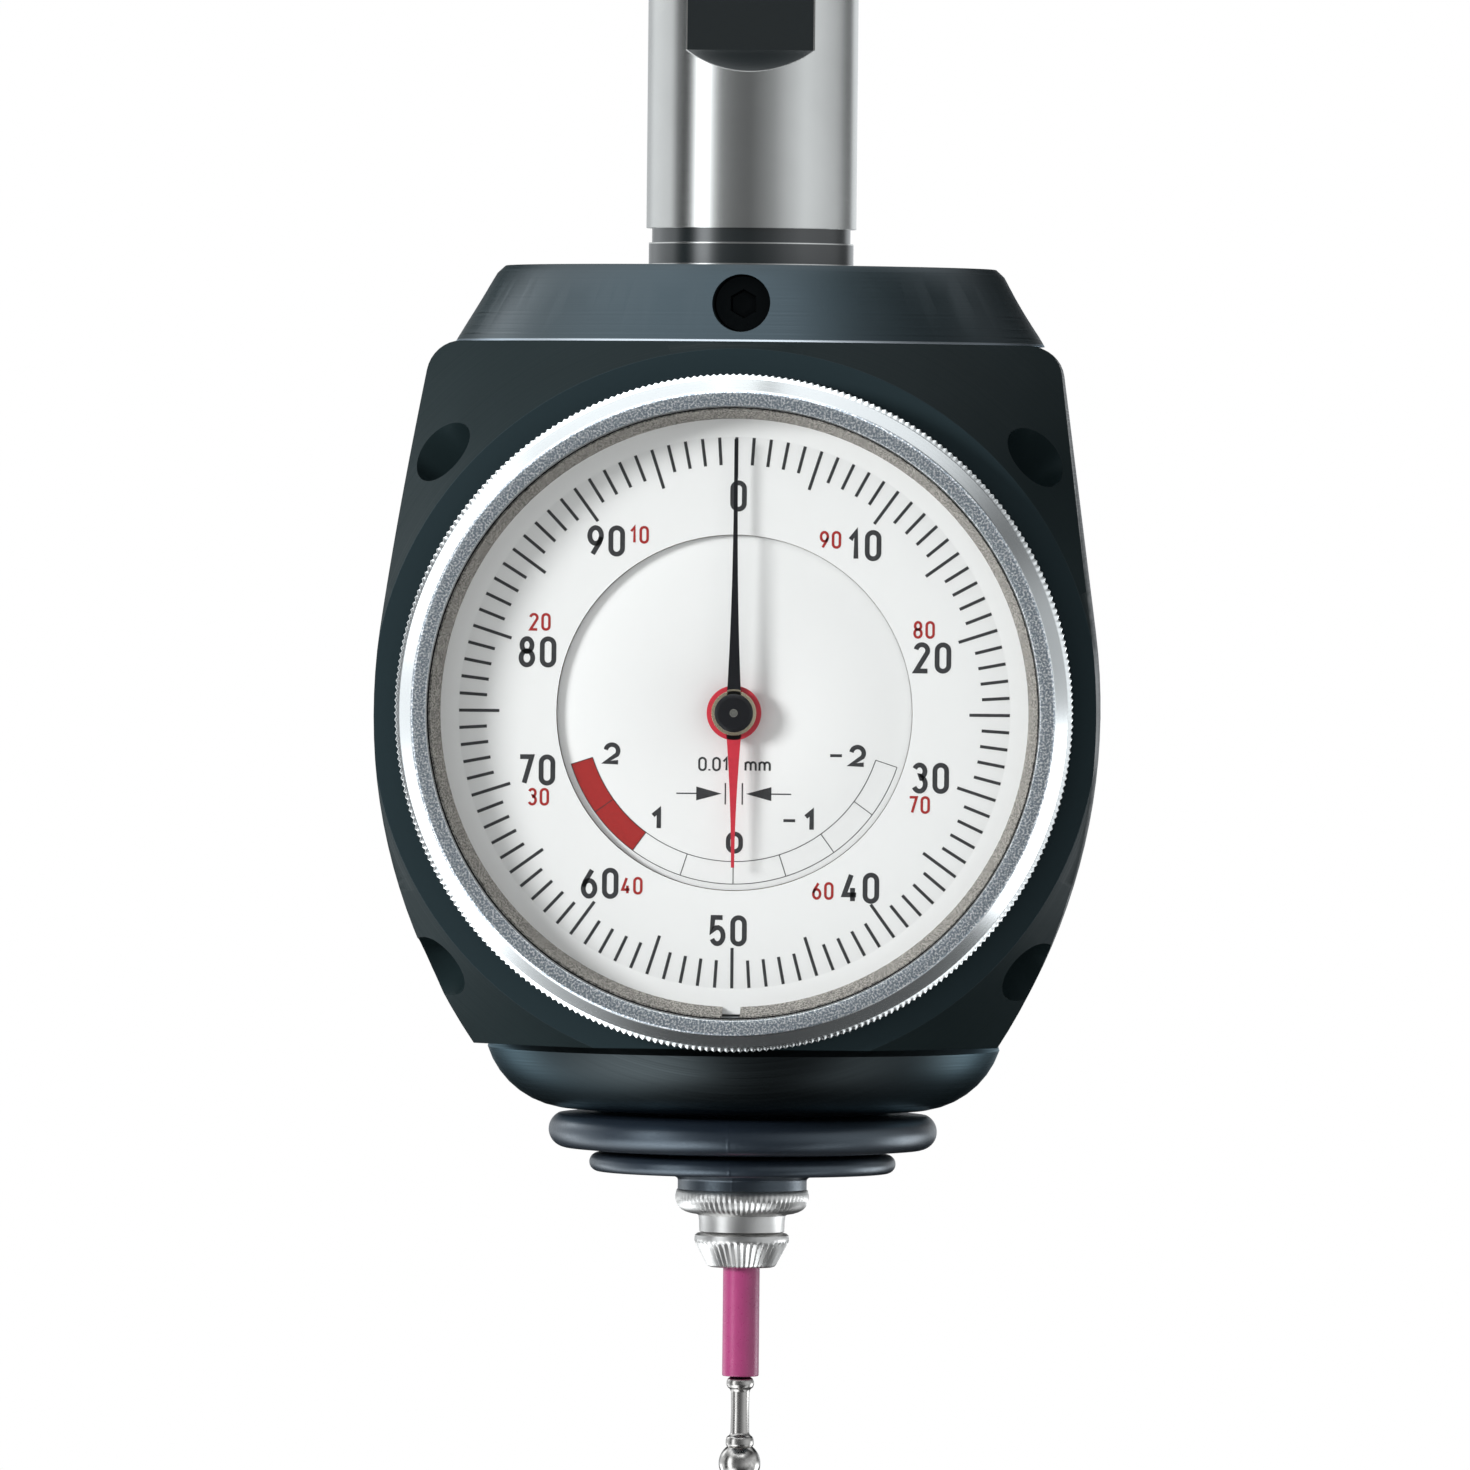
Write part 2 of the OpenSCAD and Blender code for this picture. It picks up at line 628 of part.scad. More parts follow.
// Solid outer form of the body
module body_form() {
    intersection() {
        union() {
            rotate_extrude() polygon(concat(body_side, [[0, broad_z]]));
            rotate([90, 0, 0]) linear_extrude(front_depth) {
                polygon(concat(body_side, [[0, broad_z]]));
                mirror([1, 0]) polygon(concat(body_side, [[0, broad_z]]));
            }
        }
        union() {
            translate([-cap_base_d, 0, nose_z - over]) cube([2 * cap_base_d, cap_base_d, body_z - nose_z + 2 * over]);
            on_dial() cylinder(r1 = face_r + front_depth * tan(flank_angle), r2 = face_r, h = front_depth);
        }
    }
    rotate_extrude() polygon(concat(
        [[0, broad_z + over], [broad_half_w - over, broad_z + over], [broad_half_w - over, broad_z]],
        arc([nose_flat_d / 2, nose_z + nose_round], nose_round, -nose_from, -90, nose_steps),
        [[0, nose_z]]
    ));
}

// Body with the bores for the dial case, the plunger and the probe
module body_housing() color([0.1, 0.13, 0.14]) {
    difference() {
        body_form();
        on_dial() {
            translate([0, 0, case_back]) cylinder(r = case_r + fit_gap, h = front_depth);
            at_dial_screws() translate([0, 0, dial_screw_depth]) rotate([0, 90, 0]) {
                cylinder(r = dial_screw_d / 2 + fit_gap, h = face_r);
                translate([0, 0, dial_screw_seat]) cylinder(d = dial_screw_sink_d, h = face_r);
            }
        }
        translate([0, 0, guide_bottom]) cylinder(r = guide_r + fit_gap, h = chamber_z - guide_bottom);
        translate([0, 0, chamber_z - over])
            cylinder(r = rod_bush_r + fit_gap, h = upper_bore_top - chamber_z + over);
        translate([0, 0, nose_z - over]) cylinder(r = seat_r + fit_gap, h = seat_top - nose_z + over);
        translate([0, 0, nose_z - over]) cylinder(r = boot_mouth_r + fit_gap, h = boot_lip_h + over);
        translate([arm_x - window_gap, -case_back - over, arm_z - arm_h / 2 - travel - window_gap])
            cube([arm_w + 2 * window_gap, case_back + over, arm_h + 2 * travel + 2 * window_gap]);
        four(cap_screw_turn) translate([cap_screw_circle / 2, 0, cap_z - cap_screw_d - cap_screw_len - over])
            cylinder(r = cap_screw_d / 2 + fit_gap, h = cap_screw_len + cap_screw_d + over);
    }
}

// Slotted screws that hold the dial case, sunk in the body's flank
module dial_screws() color([0.3, 0.3, 0.32]) {
    on_dial() at_dial_screws() translate([dial_screw_seat, 0, dial_screw_depth]) rotate([0, 90, 0])
        difference() {
            union() {
                cylinder(d = dial_screw_head_d, h = dial_screw_head_h);
                translate([0, 0, rim_inner_r + case_wall / 3 - dial_screw_seat])
                    cylinder(d = dial_screw_d, h = dial_screw_seat - rim_inner_r);
            }
            translate([-dial_screw_head_d, -dial_screw_d / 8, dial_screw_head_h / 2])
                cube([2 * dial_screw_head_d, dial_screw_d / 4, dial_screw_head_h]);
        }
}

// Cup that holds the movement, with a rim for the bezel to turn on
module dial_case() color([0.7, 0.7, 0.72]) {
    on_dial() difference() {
        ring(case_r, 0, case_back, rim_front);
        translate([0, 0, case_back + case_floor]) cylinder(r = rim_inner_r, h = rim_front);
        translate([arm_x - window_gap, arm_z - dial_z - arm_h / 2 - travel - window_gap, case_back - over])
            cube([arm_w + 2 * window_gap, arm_h + 2 * travel + 2 * window_gap, case_floor + 2 * over]);
        rotate_extrude() translate([case_r, wire_depth]) circle(r = wire_r + fit_gap, $fn = 32);
        at_dial_screws() translate([rim_inner_r + case_wall / 3 - fit_gap, 0, dial_screw_depth])
            rotate([0, 90, 0]) cylinder(r = dial_screw_d / 2 + fit_gap, h = case_r);
    }
}

// Spring wire that keeps the bezel on the rim
module bezel_wire() color([0.6, 0.6, 0.62]) {
    on_dial() rotate_extrude() translate([case_r, wire_depth]) circle(r = wire_r, $fn = 32);
}

// Places of the posts between the plates
module at_posts() {
    for (a = [20, 150, 215, 325]) rotate([0, 0, a]) translate([plate_r * 0.82, 0, 0]) children();
}

module rear_plate() color([0.8, 0.65, 0.3]) {
    on_dial() difference() {
        ring(plate_r, 0, rear_plate_depth, rear_plate_depth + plate_h);
        translate([0, 0, rear_plate_depth - over]) cylinder(r = 2 * arbor_r + fit_gap, h = plate_h + 2 * over);
        translate([rack_axle_x, rack_axle_y, rear_plate_depth - over])
            cylinder(r = 2 * arbor_r + fit_gap, h = plate_h + 2 * over);
        translate([arm_x - window_gap, arm_z - dial_z - arm_h / 2 - travel - window_gap, rear_plate_depth - over])
            cube([arm_w + 2 * window_gap, arm_h + 2 * travel + 2 * window_gap, plate_h + 2 * over]);
        at_posts() translate([0, 0, rear_plate_depth - over]) cylinder(r = 2 * arbor_r, h = plate_h + 2 * over);
    }
}

module front_plate() color([0.8, 0.65, 0.3]) {
    on_dial() difference() {
        ring(plate_r, tube_r + run_gap, front_plate_depth, front_plate_depth + plate_h);
        translate([rack_axle_x, rack_axle_y, front_plate_depth - over])
            cylinder(r = 2 * arbor_r + fit_gap, h = plate_h + 2 * over);
        at_posts() translate([0, 0, front_plate_depth - over]) cylinder(r = 2 * arbor_r, h = plate_h + 2 * over);
    }
}

// Posts between the plates, the rear ones reaching down to the case's floor
module plate_posts() color([0.75, 0.6, 0.3]) {
    on_dial() at_posts() {
        ring(4 * arbor_r, 0, rear_plate_depth + plate_h, front_plate_depth);
        ring(2 * arbor_r - fit_gap, 0, rear_plate_depth, rear_plate_depth + plate_h);
        ring(4 * arbor_r, 0, case_back + case_floor, rear_plate_depth);
    }
}

module plate_screws() color([0.5, 0.5, 0.52]) {
    on_dial() at_posts() difference() {
        union() {
            ring(4 * arbor_r, 0, front_plate_depth + plate_h, front_plate_depth + 2 * plate_h);
            ring(2 * arbor_r - fit_gap, 0, front_plate_depth, front_plate_depth + plate_h);
        }
        translate([-4 * arbor_r - over, -arbor_r / 2, front_plate_depth + 1.5 * plate_h])
            cube([8 * arbor_r + 2 * over, arbor_r, plate_h]);
    }
}

// Bushes that carry the thin arbors in the plates
module arbor_bushes() color([0.7, 0.45, 0.2]) {
    on_dial() {
        ring(2 * arbor_r, arbor_r + run_gap, rear_plate_depth, rear_plate_depth + plate_h);
        for (depth = [rear_plate_depth, front_plate_depth]) translate([rack_axle_x, rack_axle_y, 0])
            ring(2 * arbor_r, arbor_r + run_gap, depth, depth + plate_h);
    }
}

// Turned ring that carries the fixed dial on the front plate
module dial_spacer() color([0.8, 0.65, 0.3]) {
    on_dial() ring(plate_r / 2, plate_r / 2 - 2 * plate_h, front_plate_depth + plate_h, fixed_dial_depth - dial_h);
}

module fixed_dial() color([0.94, 0.94, 0.93]) {
    on_dial() ring(fixed_dial_r, tube_r + 4 * run_gap, fixed_dial_depth - dial_h, fixed_dial_depth);
}

// Flat spiral spring round the centre arbor, with its stud on the rear plate
module hairspring() color([0.35, 0.4, 0.6]) {
    coils = 4;
    steps = 24;
    depth = rear_plate_depth + 1.5 * plate_h;
    on_dial() {
        swept([for (i = [0:coils * steps])
            let (a = 360 * i / steps, r = 2 * arbor_r + run_gap + 5 * arbor_r * i / coils / steps)
            [[r * cos(a), r * sin(a), depth], [cos(a), sin(a), 0]]], 4, gear_module / 2, 2);
        translate([7 * arbor_r + run_gap, 0, rear_plate_depth + plate_h])
            cylinder(r = arbor_r, h = plate_h);
    }
}

module guide_bush() color([0.72, 0.55, 0.28]) {
    ring(guide_r, slide_r + run_gap, guide_bottom, guide_top);
}

module rod_bush() color([0.72, 0.55, 0.28]) {
    ring(rod_bush_r, rod_r + run_gap, rod_bush_bottom, rod_bush_top);
}

// Helical spring between the chamber's top and the probe slide
module return_spring() color([0.6, 0.6, 0.62]) {
    steps = 20;
    rise = spring_len - spring_wire_d - 2 * fit_gap;
    swept([for (i = [0:spring_turns * steps]) let (a = 360 * i / steps)
        [[spring_r * cos(a), spring_r * sin(a),
          slide_top + fit_gap + spring_wire_r + rise * i / (spring_turns * steps)],
         [cos(a), sin(a), 0]]], 6, spring_wire_r, 1);
}

// Cup with the ring that the probe's flange comes to rest on
module seat_cup() color([0.7, 0.7, 0.72]) {
    difference() {
        ring(seat_r, 0, seat_bottom, seat_top);
        translate([0, 0, seat_lip_z]) cylinder(r = seat_r - seat_wall, h = seat_top - seat_lip_z - seat_wall);
        translate([0, 0, seat_top - seat_wall - over]) cylinder(r = slide_r + 4 * run_gap, h = seat_wall + 2 * over);
        translate([0, 0, seat_bottom - over]) cylinder(r = stem_r + travel, h = seat_lip_h + 2 * over);
    }
}

// Ring that clamps the boot's lip in the nose
module boot_ring() color([0.7, 0.7, 0.72]) {
    ring(boot_mouth_r - boot_wall - fit_gap, seat_r + fit_gap, nose_z + fit_gap, nose_z + boot_lip_h);
}

// Outline of the boot's outer skin from its lip down to its neck
boot_root_r = boot_mouth_r;
waist_r = small_fold_r - 2 * boot_wall;
fold_round_share = 0.42;
fold_from = 60;
fold_to = -75;
fold_steps = 10;
small_fold_turn = 70;
small_fold_steps = 8;
boot_out = concat(
    [[boot_root_r, boot_z + boot_lip_h], [boot_root_r, boot_z]],
    [[boot_root_r + boot_wall / 2, boot_z - boot_wall / 2]],
    arc([fold_r - fold_h * fold_round_share, boot_z - fold_h / 2], fold_h * fold_round_share,
        fold_from, fold_to, fold_steps),
    [[waist_r, small_fold_z]],
    arc([small_fold_r - small_fold_h * fold_round_share, small_fold_z - small_fold_h / 2],
        small_fold_h * fold_round_share, small_fold_turn, -small_fold_turn, small_fold_steps),
    [[boot_neck_r + boot_wall, boot_neck_z], [boot_neck_r, boot_neck_z - boot_wall / 2],
     [boot_neck_r, collar_z]]
);

// The same outline one wall further in, from the neck back up to the lip
boot_in = concat(
    [[stem_r + fit_gap, collar_z], [stem_r + fit_gap, boot_neck_z + boot_wall / 2],
     [boot_neck_r + boot_wall, boot_neck_z + boot_wall],
     [small_fold_r - 2 * boot_wall, boot_neck_z + boot_wall]],
    [[small_fold_r - boot_wall, small_fold_z - small_fold_h / 2],
     [waist_r - boot_wall, small_fold_z - boot_wall / 4],
     [waist_r - boot_wall, small_fold_z + boot_wall]],
    [[fold_r - 2 * boot_wall, small_fold_z + boot_wall * 1.2],
     [fold_r - boot_wall * 1.2, boot_z - fold_h / 2],
     [fold_r - 2 * boot_wall, boot_z - boot_wall * 1.5],
     [boot_root_r - boot_wall, boot_z - boot_wall / 2],
     [boot_root_r - boot_wall, boot_z + boot_lip_h]]
);

module rubber_boot() color([0.12, 0.14, 0.18]) {
    rotate_extrude() polygon(concat(boot_out, boot_in));
}

// Knurled bezel with its glass recess and the skirt over the case's rim
module bezel_ring() color([0.78, 0.79, 0.8]) {
    knurl_top = bezel_back + knurl_w;
    on_dial() rotate_extrude() difference() {
        polygon([
            [bezel_inner_r, flange_back], [skirt_r, flange_back], [skirt_r, bezel_back],
            [bezel_r - bezel_gap, bezel_back], [bezel_r, bezel_back + bezel_gap], [bezel_r, knurl_top],
            [bezel_r - bezel_gap, knurl_top + bezel_gap / 2], [bezel_flat_r, bezel_front - bezel_gap / 2],
            [bezel_flat_r - bezel_gap / 2, bezel_front], [bezel_inner_r, bezel_front]
        ]);
        translate([0, flange_back - over]) square([recess_r, seal_front - flange_back + over]);
        translate([case_r, wire_depth]) circle(r = wire_r + run_gap * 2, $fn = 32);
    }
}

module glass_seal() color([0.15, 0.15, 0.16]) {
    on_dial() ring(glass_r, bezel_inner_r + seal_h / 3, glass_front, seal_front);
}

module dial_glass() color([0.9, 0.95, 0.95, 0.3]) {
    on_dial() ring(glass_r, 0, glass_back, glass_front);
}

// Split ring between the glass and the scale, with a sloping inner face
module inner_ring() color([0.8, 0.8, 0.8]) {
    on_dial() difference() {
        rotate_extrude() polygon([
            [sight_r, scale_depth], [scale_outer_r, scale_depth], [scale_outer_r, flange_back],
            [glass_r, flange_back], [glass_r, glass_back], [bezel_inner_r, glass_back]
        ]);
        translate([-sight_gap / 2, -glass_r - over, scale_depth - over])
            cube([sight_gap, 2 * (glass_r - sight_r) + over, glass_back - scale_depth + 2 * over]);
    }
}

module turning_scale() color([0.94, 0.94, 0.93]) {
    on_dial() ring(scale_outer_r, scale_inner_r, scale_depth - scale_h, scale_depth);
}

// Centre arbor with its pinion, carrying the black hand
module centre_arbor() color([0.7, 0.7, 0.72]) {
    on_dial() {
        ring(arbor_r, 0, rear_plate_depth, black_hand_depth + hand_h);
        wheel(centre_teeth, gear_module, axle_angle, arbor_r / 3, large_wheel_depth - wheel_w / 2,
              large_wheel_depth + 1.5 * wheel_w, 3);
    }
}

// A flat hand that tapers from its hub to its tip
module hand(hub, hole, length, width, tip, depth) {
    difference() {
        union() {
            ring(hub, 0, depth, depth + hand_h);
            translate([0, 0, depth]) linear_extrude(hand_h)
                polygon([[-width / 2, 0], [-tip / 2, length], [tip / 2, length], [width / 2, 0]]);
        }
        translate([0, 0, depth - over]) cylinder(r = hole, h = hand_h + 2 * over);
    }
}

module black_hand() color([0.06, 0.06, 0.07]) {
    on_dial() hand(tube_r + 4 * hand_h, arbor_r, black_hand_len, tube_r, tube_r / 5, black_hand_depth);
}

// Small cap with a rim that fixes the black hand on its arbor
module hand_cap() color([0.8, 0.7, 0.45]) {
    cap_r = tube_r + 2 * hand_h;
    on_dial() difference() {
        ring(cap_r, 0, black_hand_depth + hand_h, black_hand_depth + 3 * hand_h);
        ring(cap_r - hand_h, arbor_r, black_hand_depth + 2 * hand_h, black_hand_depth + 3 * hand_h + over);
    }
}

module red_hand_tube() color([0.7, 0.7, 0.72]) {
    on_dial() ring(tube_r, arbor_r + run_gap, tube_back, red_hand_depth + hand_h);
}

module red_hand_wheel() color([0.8, 0.65, 0.3]) {
    on_dial() wheel(transfer_teeth, gear_module, axle_angle, tube_r, transfer_depth, transfer_depth + wheel_w, 1);
}

module red_hand() color([0.75, 0.1, 0.12]) {
    on_dial() rotate([0, 0, 180])
        hand(tube_r + 7 * hand_h, tube_r, fixed_dial_r - red_hand_tip_gap, tube_r, tube_r / 5, red_hand_depth);
}

// Arbor with the pinion that the rack drives
module rack_pinion_arbor() color([0.7, 0.7, 0.72]) {
    on_dial() translate([rack_axle_x, rack_axle_y, 0]) {
        ring(arbor_r, 0, rear_plate_depth, front_plate_depth + plate_h);
        wheel(rack_pinion_teeth, rack_pinion_module, 0, arbor_r / 3, rack_front - rack_w, rack_front, 3);
    }
}

module large_wheel() color([0.8, 0.65, 0.3]) {
    on_dial() translate([rack_axle_x, rack_axle_y, 0])
        wheel(wheel_teeth, gear_module, axle_angle + 180 + 180 / wheel_teeth, arbor_r,
              large_wheel_depth, large_wheel_depth + wheel_w, 1);
}

module transfer_wheel() color([0.8, 0.65, 0.3]) {
    on_dial() translate([rack_axle_x, rack_axle_y, 0])
        wheel(transfer_teeth, gear_module, axle_angle + 180 + 180 / transfer_teeth, arbor_r,
              transfer_depth, transfer_depth + wheel_w, 1);
}

// Slide with the upper half of the pivot ball's seat
module probe_slide() color([0.72, 0.72, 0.74]) {
    difference() {
        ring(slide_r, 0, slide_bottom, slide_top);
        translate([0, 0, pivot_z]) sphere(r = pivot_r + run_gap);
        translate([0, 0, slide_top - 2 * rod_r]) cylinder(r = rod_r, h = 2 * rod_r + over);
    }
}

module plunger_rod() color([0.78, 0.78, 0.8]) {
    ring(rod_r, 0, slide_top - 2 * rod_r, rod_top);
}

// Arm that carries the rack from the rod into the dial case
module rack_arm() color([0.75, 0.6, 0.3]) {
    difference() {
        union() {
            translate([arm_x, -rack_front + rack_w, arm_z - arm_h / 2])
                cube([arm_w, rack_front - rack_w, arm_h]);
            ring(rod_bush_r - 2 * window_gap / 3, 0, arm_z - arm_h / 2, arm_z + arm_h / 2);
        }
        translate([0, 0, arm_z - arm_h]) cylinder(r = rod_r, h = 2 * arm_h);
    }
}

module toothed_rack() color([0.72, 0.72, 0.74]) {
    teeth = floor(rack_len / rack_pitch);
    add = addendum_share * rack_pinion_module;
    ded = dedendum_share * rack_pinion_module;
    half = rack_pitch / 4 * tooth_share;
    lean = tan(pressure_angle);
    on_dial() translate([0, rack_axle_y - rack_pitch / 2, rack_front - rack_w]) linear_extrude(rack_w)
        polygon(concat(
            [[rack_bar_w, -rack_len / 2], [rack_bar_w, rack_len / 2], [ded, rack_len / 2]],
            [for (k = [teeth / 2 - 1:-1:-teeth / 2 + 1]) let (y = k * rack_pitch)
                each [[ded, y + half + ded * lean], [-add, y + half - add * lean],
                      [-add, y - half + add * lean], [ded, y - half - ded * lean]]],
            [[ded, -rack_len / 2]]
        ));
}

module pivot_ball() color([0.85, 0.85, 0.87]) {
    translate([0, 0, pivot_z]) sphere(r = pivot_r);
}

// Stem under the pivot ball, with the lower half of its seat
module probe_holder() color([0.75, 0.75, 0.77]) {
    cup_r = pivot_r + socket_wall;
    difference() {
        union() {
            ring(cup_r, 0, lever_flange_z - lever_flange_h, pivot_z - ball_gap);
            ring(stem_r, 0, holder_bottom, lever_flange_z - lever_flange_h);
        }
        translate([0, 0, pivot_z]) sphere(r = pivot_r + run_gap);
        translate([0, 0, holder_bottom - over]) cylinder(d = sleeve_d + 2 * fit_gap, h = collar_h + over);
    }
}

// Flange that comes to rest on the seat cup's ring
module holder_flange() color([0.68, 0.68, 0.7]) {
    ring(lever_flange_r, pivot_r + socket_wall, lever_flange_z - lever_flange_h, lever_flange_z);
}

// Knurled collar under the boot's neck, with its own plain neck
module knurled_collar() color([0.72, 0.71, 0.69]) {
    rib_depth = collar_r / 30;
    foot = collar_h / 3;
    brow = collar_h / 4;
    difference() {
        union() {
            translate([0, 0, nut_neck_z + foot])
                ribbed(collar_r, rib_depth, collar_ribs, collar_h - foot - brow, 1);
            translate([0, 0, nut_neck_z])
                cylinder(r1 = collar_r - foot, r2 = collar_r - 2 * rib_depth, h = foot);
            translate([0, 0, collar_z - brow])
                cylinder(r1 = collar_r - 2 * rib_depth, r2 = collar_r - brow, h = brow);
        }
        translate([0, 0, nut_neck_z - over]) cylinder(r = stem_r + fit_gap, h = collar_h + 2 * over);
    }
    ring(nut_neck_r, sleeve_d / 2 + fit_gap, nut_z, nut_neck_z);
}

// Knurled cone nut that holds the stylus
module collet_nut() color([0.72, 0.71, 0.69]) {
    groove = nut_neck_h / 4;
    difference() {
        union() {
            translate([0, 0, nut_z - groove]) mirror([0, 0, 1])
                ribbed(nut_r, nut_r / 18, nut_ribs, nut_h - groove, nut_end_r / nut_r);
            ring(nut_neck_r, 0, nut_z - 2 * groove, nut_z);
        }
        translate([0, 0, sleeve_z - over]) cylinder(d = sleeve_d + 2 * fit_gap, h = nut_h + 2 * over);
    }
}

module breaking_sleeve() color([0.69, 0.2, 0.46]) {
    ring(sleeve_d / 2, tip_neck_r + fit_gap, tip_z, nut_z + nut_neck_h);
}

// Steel core and tip of the stylus
module stylus_stem() color([0.7, 0.68, 0.66]) {
    collar_len = tip_collar_r;
    difference() {
        union() {
            ring(tip_neck_r, 0, ball_z, nut_z + nut_neck_h);
            ring(tip_collar_r, 0, tip_z - collar_len, tip_z);
            ring(tip_collar_r, 0, ball_z + ball_d / 3, ball_z + ball_d / 3 + collar_len);
        }
        translate([0, 0, ball_z]) sphere(d = ball_d);
    }
}

module stylus_ball() color([0.72, 0.7, 0.68]) {
    translate([0, 0, ball_z]) sphere(d = ball_d);
}

shank();
top_cap();
cap_screws();
centring_screws();
body_housing();
dial_screws();
dial_case();
bezel_wire();
rear_plate();
front_plate();
plate_posts();
plate_screws();
arbor_bushes();
dial_spacer();
fixed_dial();
hairspring();
guide_bush();
rod_bush();
return_spring();
seat_cup();
boot_ring();
rubber_boot();
bezel_ring();
glass_seal();
dial_glass();
inner_ring();
turning_scale();
centre_arbor();
black_hand();
hand_cap();
red_hand_tube();
red_hand_wheel();
red_hand();
rack_pinion_arbor();
large_wheel();
transfer_wheel();
probe_slide();
plunger_rod();
rack_arm();
toothed_rack();
pivot_ball();
probe_holder();
holder_flange();
knurled_collar();
collet_nut();
breaking_sleeve();
stylus_stem();
stylus_ball();
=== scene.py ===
"""Dresses the packed edge finder: stage, materials, and the pieces that are finer than the CAD model."""

import json
import math

import bmesh
import bpy
import numpy as np
from mathutils import Matrix, Vector

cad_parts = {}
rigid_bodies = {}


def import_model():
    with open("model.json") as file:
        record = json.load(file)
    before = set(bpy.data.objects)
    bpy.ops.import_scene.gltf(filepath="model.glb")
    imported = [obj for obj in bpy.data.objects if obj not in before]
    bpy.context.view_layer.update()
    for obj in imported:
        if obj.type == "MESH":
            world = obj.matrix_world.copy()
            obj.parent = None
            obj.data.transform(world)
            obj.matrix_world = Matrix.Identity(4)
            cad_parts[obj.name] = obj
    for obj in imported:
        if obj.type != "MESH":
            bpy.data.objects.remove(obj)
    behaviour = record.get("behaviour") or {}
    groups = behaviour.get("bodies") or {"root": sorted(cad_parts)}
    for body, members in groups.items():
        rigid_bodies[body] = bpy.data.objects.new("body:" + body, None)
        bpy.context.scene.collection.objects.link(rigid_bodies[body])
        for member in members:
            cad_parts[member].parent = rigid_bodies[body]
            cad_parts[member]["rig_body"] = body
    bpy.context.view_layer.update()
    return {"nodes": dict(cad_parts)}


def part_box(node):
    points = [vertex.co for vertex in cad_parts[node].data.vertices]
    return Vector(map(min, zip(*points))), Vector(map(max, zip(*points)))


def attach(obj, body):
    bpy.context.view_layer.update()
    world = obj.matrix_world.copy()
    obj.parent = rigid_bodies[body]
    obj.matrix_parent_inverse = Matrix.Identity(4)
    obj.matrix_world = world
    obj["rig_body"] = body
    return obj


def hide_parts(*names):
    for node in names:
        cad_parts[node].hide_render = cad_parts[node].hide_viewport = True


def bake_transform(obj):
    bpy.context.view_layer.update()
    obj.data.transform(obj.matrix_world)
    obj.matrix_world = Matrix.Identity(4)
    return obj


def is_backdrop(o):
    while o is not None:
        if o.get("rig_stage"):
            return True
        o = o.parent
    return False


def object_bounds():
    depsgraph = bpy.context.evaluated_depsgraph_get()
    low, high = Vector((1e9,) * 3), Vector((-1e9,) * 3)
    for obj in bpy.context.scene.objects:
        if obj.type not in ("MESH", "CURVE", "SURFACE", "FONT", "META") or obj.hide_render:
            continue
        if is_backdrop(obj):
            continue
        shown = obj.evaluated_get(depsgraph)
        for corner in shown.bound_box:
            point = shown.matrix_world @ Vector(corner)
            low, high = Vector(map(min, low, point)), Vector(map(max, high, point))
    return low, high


bl_info = {
    "name": "Dial edge finder",
    "version": (1, 0, 0),
    "blender": (4, 5, 0),
    "location": "View3D > Sidebar > Edge Finder",
    "description": "Dresses the packed edge finder: steel, coat, knurl, dial print, boot and stylus",
    "category": "Object",
}

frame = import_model()

MM = 0.001
TURN = 2 * math.pi
MERGE = 0.0001 * MM         # points of a made mesh that are nearer than this are merged
CAD_STEP = 0.0005           # corners of a CAD node are rounded to this, in millimetres, and then joined
FLAT_ANGLE = 0.6            # facets of a CAD node that turn less than this, in degrees, are one face
SMOOTH = 32                 # edges that turn more than this, in degrees, stay sharp
SHANK_RADIUS = 10 * MM      # radius of the shank's ground length, which the holder takes
FINE_SHARE, SEAM_SHARE = 0.1, 0.3       # heights of the boot's grain and of its seam in its bump


# Places worked out from the frame

def low_high(node):
    """Lowest and highest corner of a CAD node at rest, as arrays."""
    low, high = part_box(node)
    return np.array(low), np.array(high)


def radius_of(node):
    """Half of a round node's width across X."""
    low, high = low_high(node)
    return (high[0] - low[0]) / 2


def depth_of(node):
    """Depths of a dial piece's back and front, counted from the spindle axis to the viewer."""
    low, high = low_high(node)
    return -high[1], -low[1]


DIAL_Z = float(sum(low_high("dial_glass")[i][2] for i in (0, 1)) / 2)


def on_dial(points):
    """Across, up and depth about the dial's axis, turned into X, Y and Z of the frame."""
    across, up, depth = points[..., 0], points[..., 1], points[..., 2]
    return np.stack([across, -depth, DIAL_Z + up], axis=-1)


# Meshes from grids, profiles and paths

def skin(points, rows_closed=True, columns_closed=True):
    """Quads between neighbours on a grid of points; a closed direction joins its last line to its first."""
    rows, columns = points.shape[:2]
    here = np.arange(rows * columns).reshape(rows, columns)
    down = np.roll(here, -1, axis=0)
    quads = np.stack([here, np.roll(here, -1, axis=1), np.roll(down, -1, axis=1), down], axis=-1)
    quads = quads if rows_closed else quads[:-1]
    quads = quads if columns_closed else quads[:, :-1]
    return points.reshape(-1, 3), quads.reshape(-1, 4)


def joined(skins):
    """One list of points and faces from several skins, each skin's faces counted on from the last."""
    starts = np.cumsum([0] + [len(part[0]) for part in skins[:-1]])
    points = np.concatenate([part[0] for part in skins])
    faces = np.concatenate([part[1] + start for part, start in zip(skins, starts)])
    return points, faces


def arc(centre, radii, start, stop, steps=12):
    """Points on an ellipse: centre plus radii times the cosine and sine of an angle in degrees."""
    angle = np.radians(np.linspace(start, stop, steps + 1))
    return np.stack([centre[0] + radii[0] * np.cos(angle), centre[1] + radii[1] * np.sin(angle)], axis=-1)


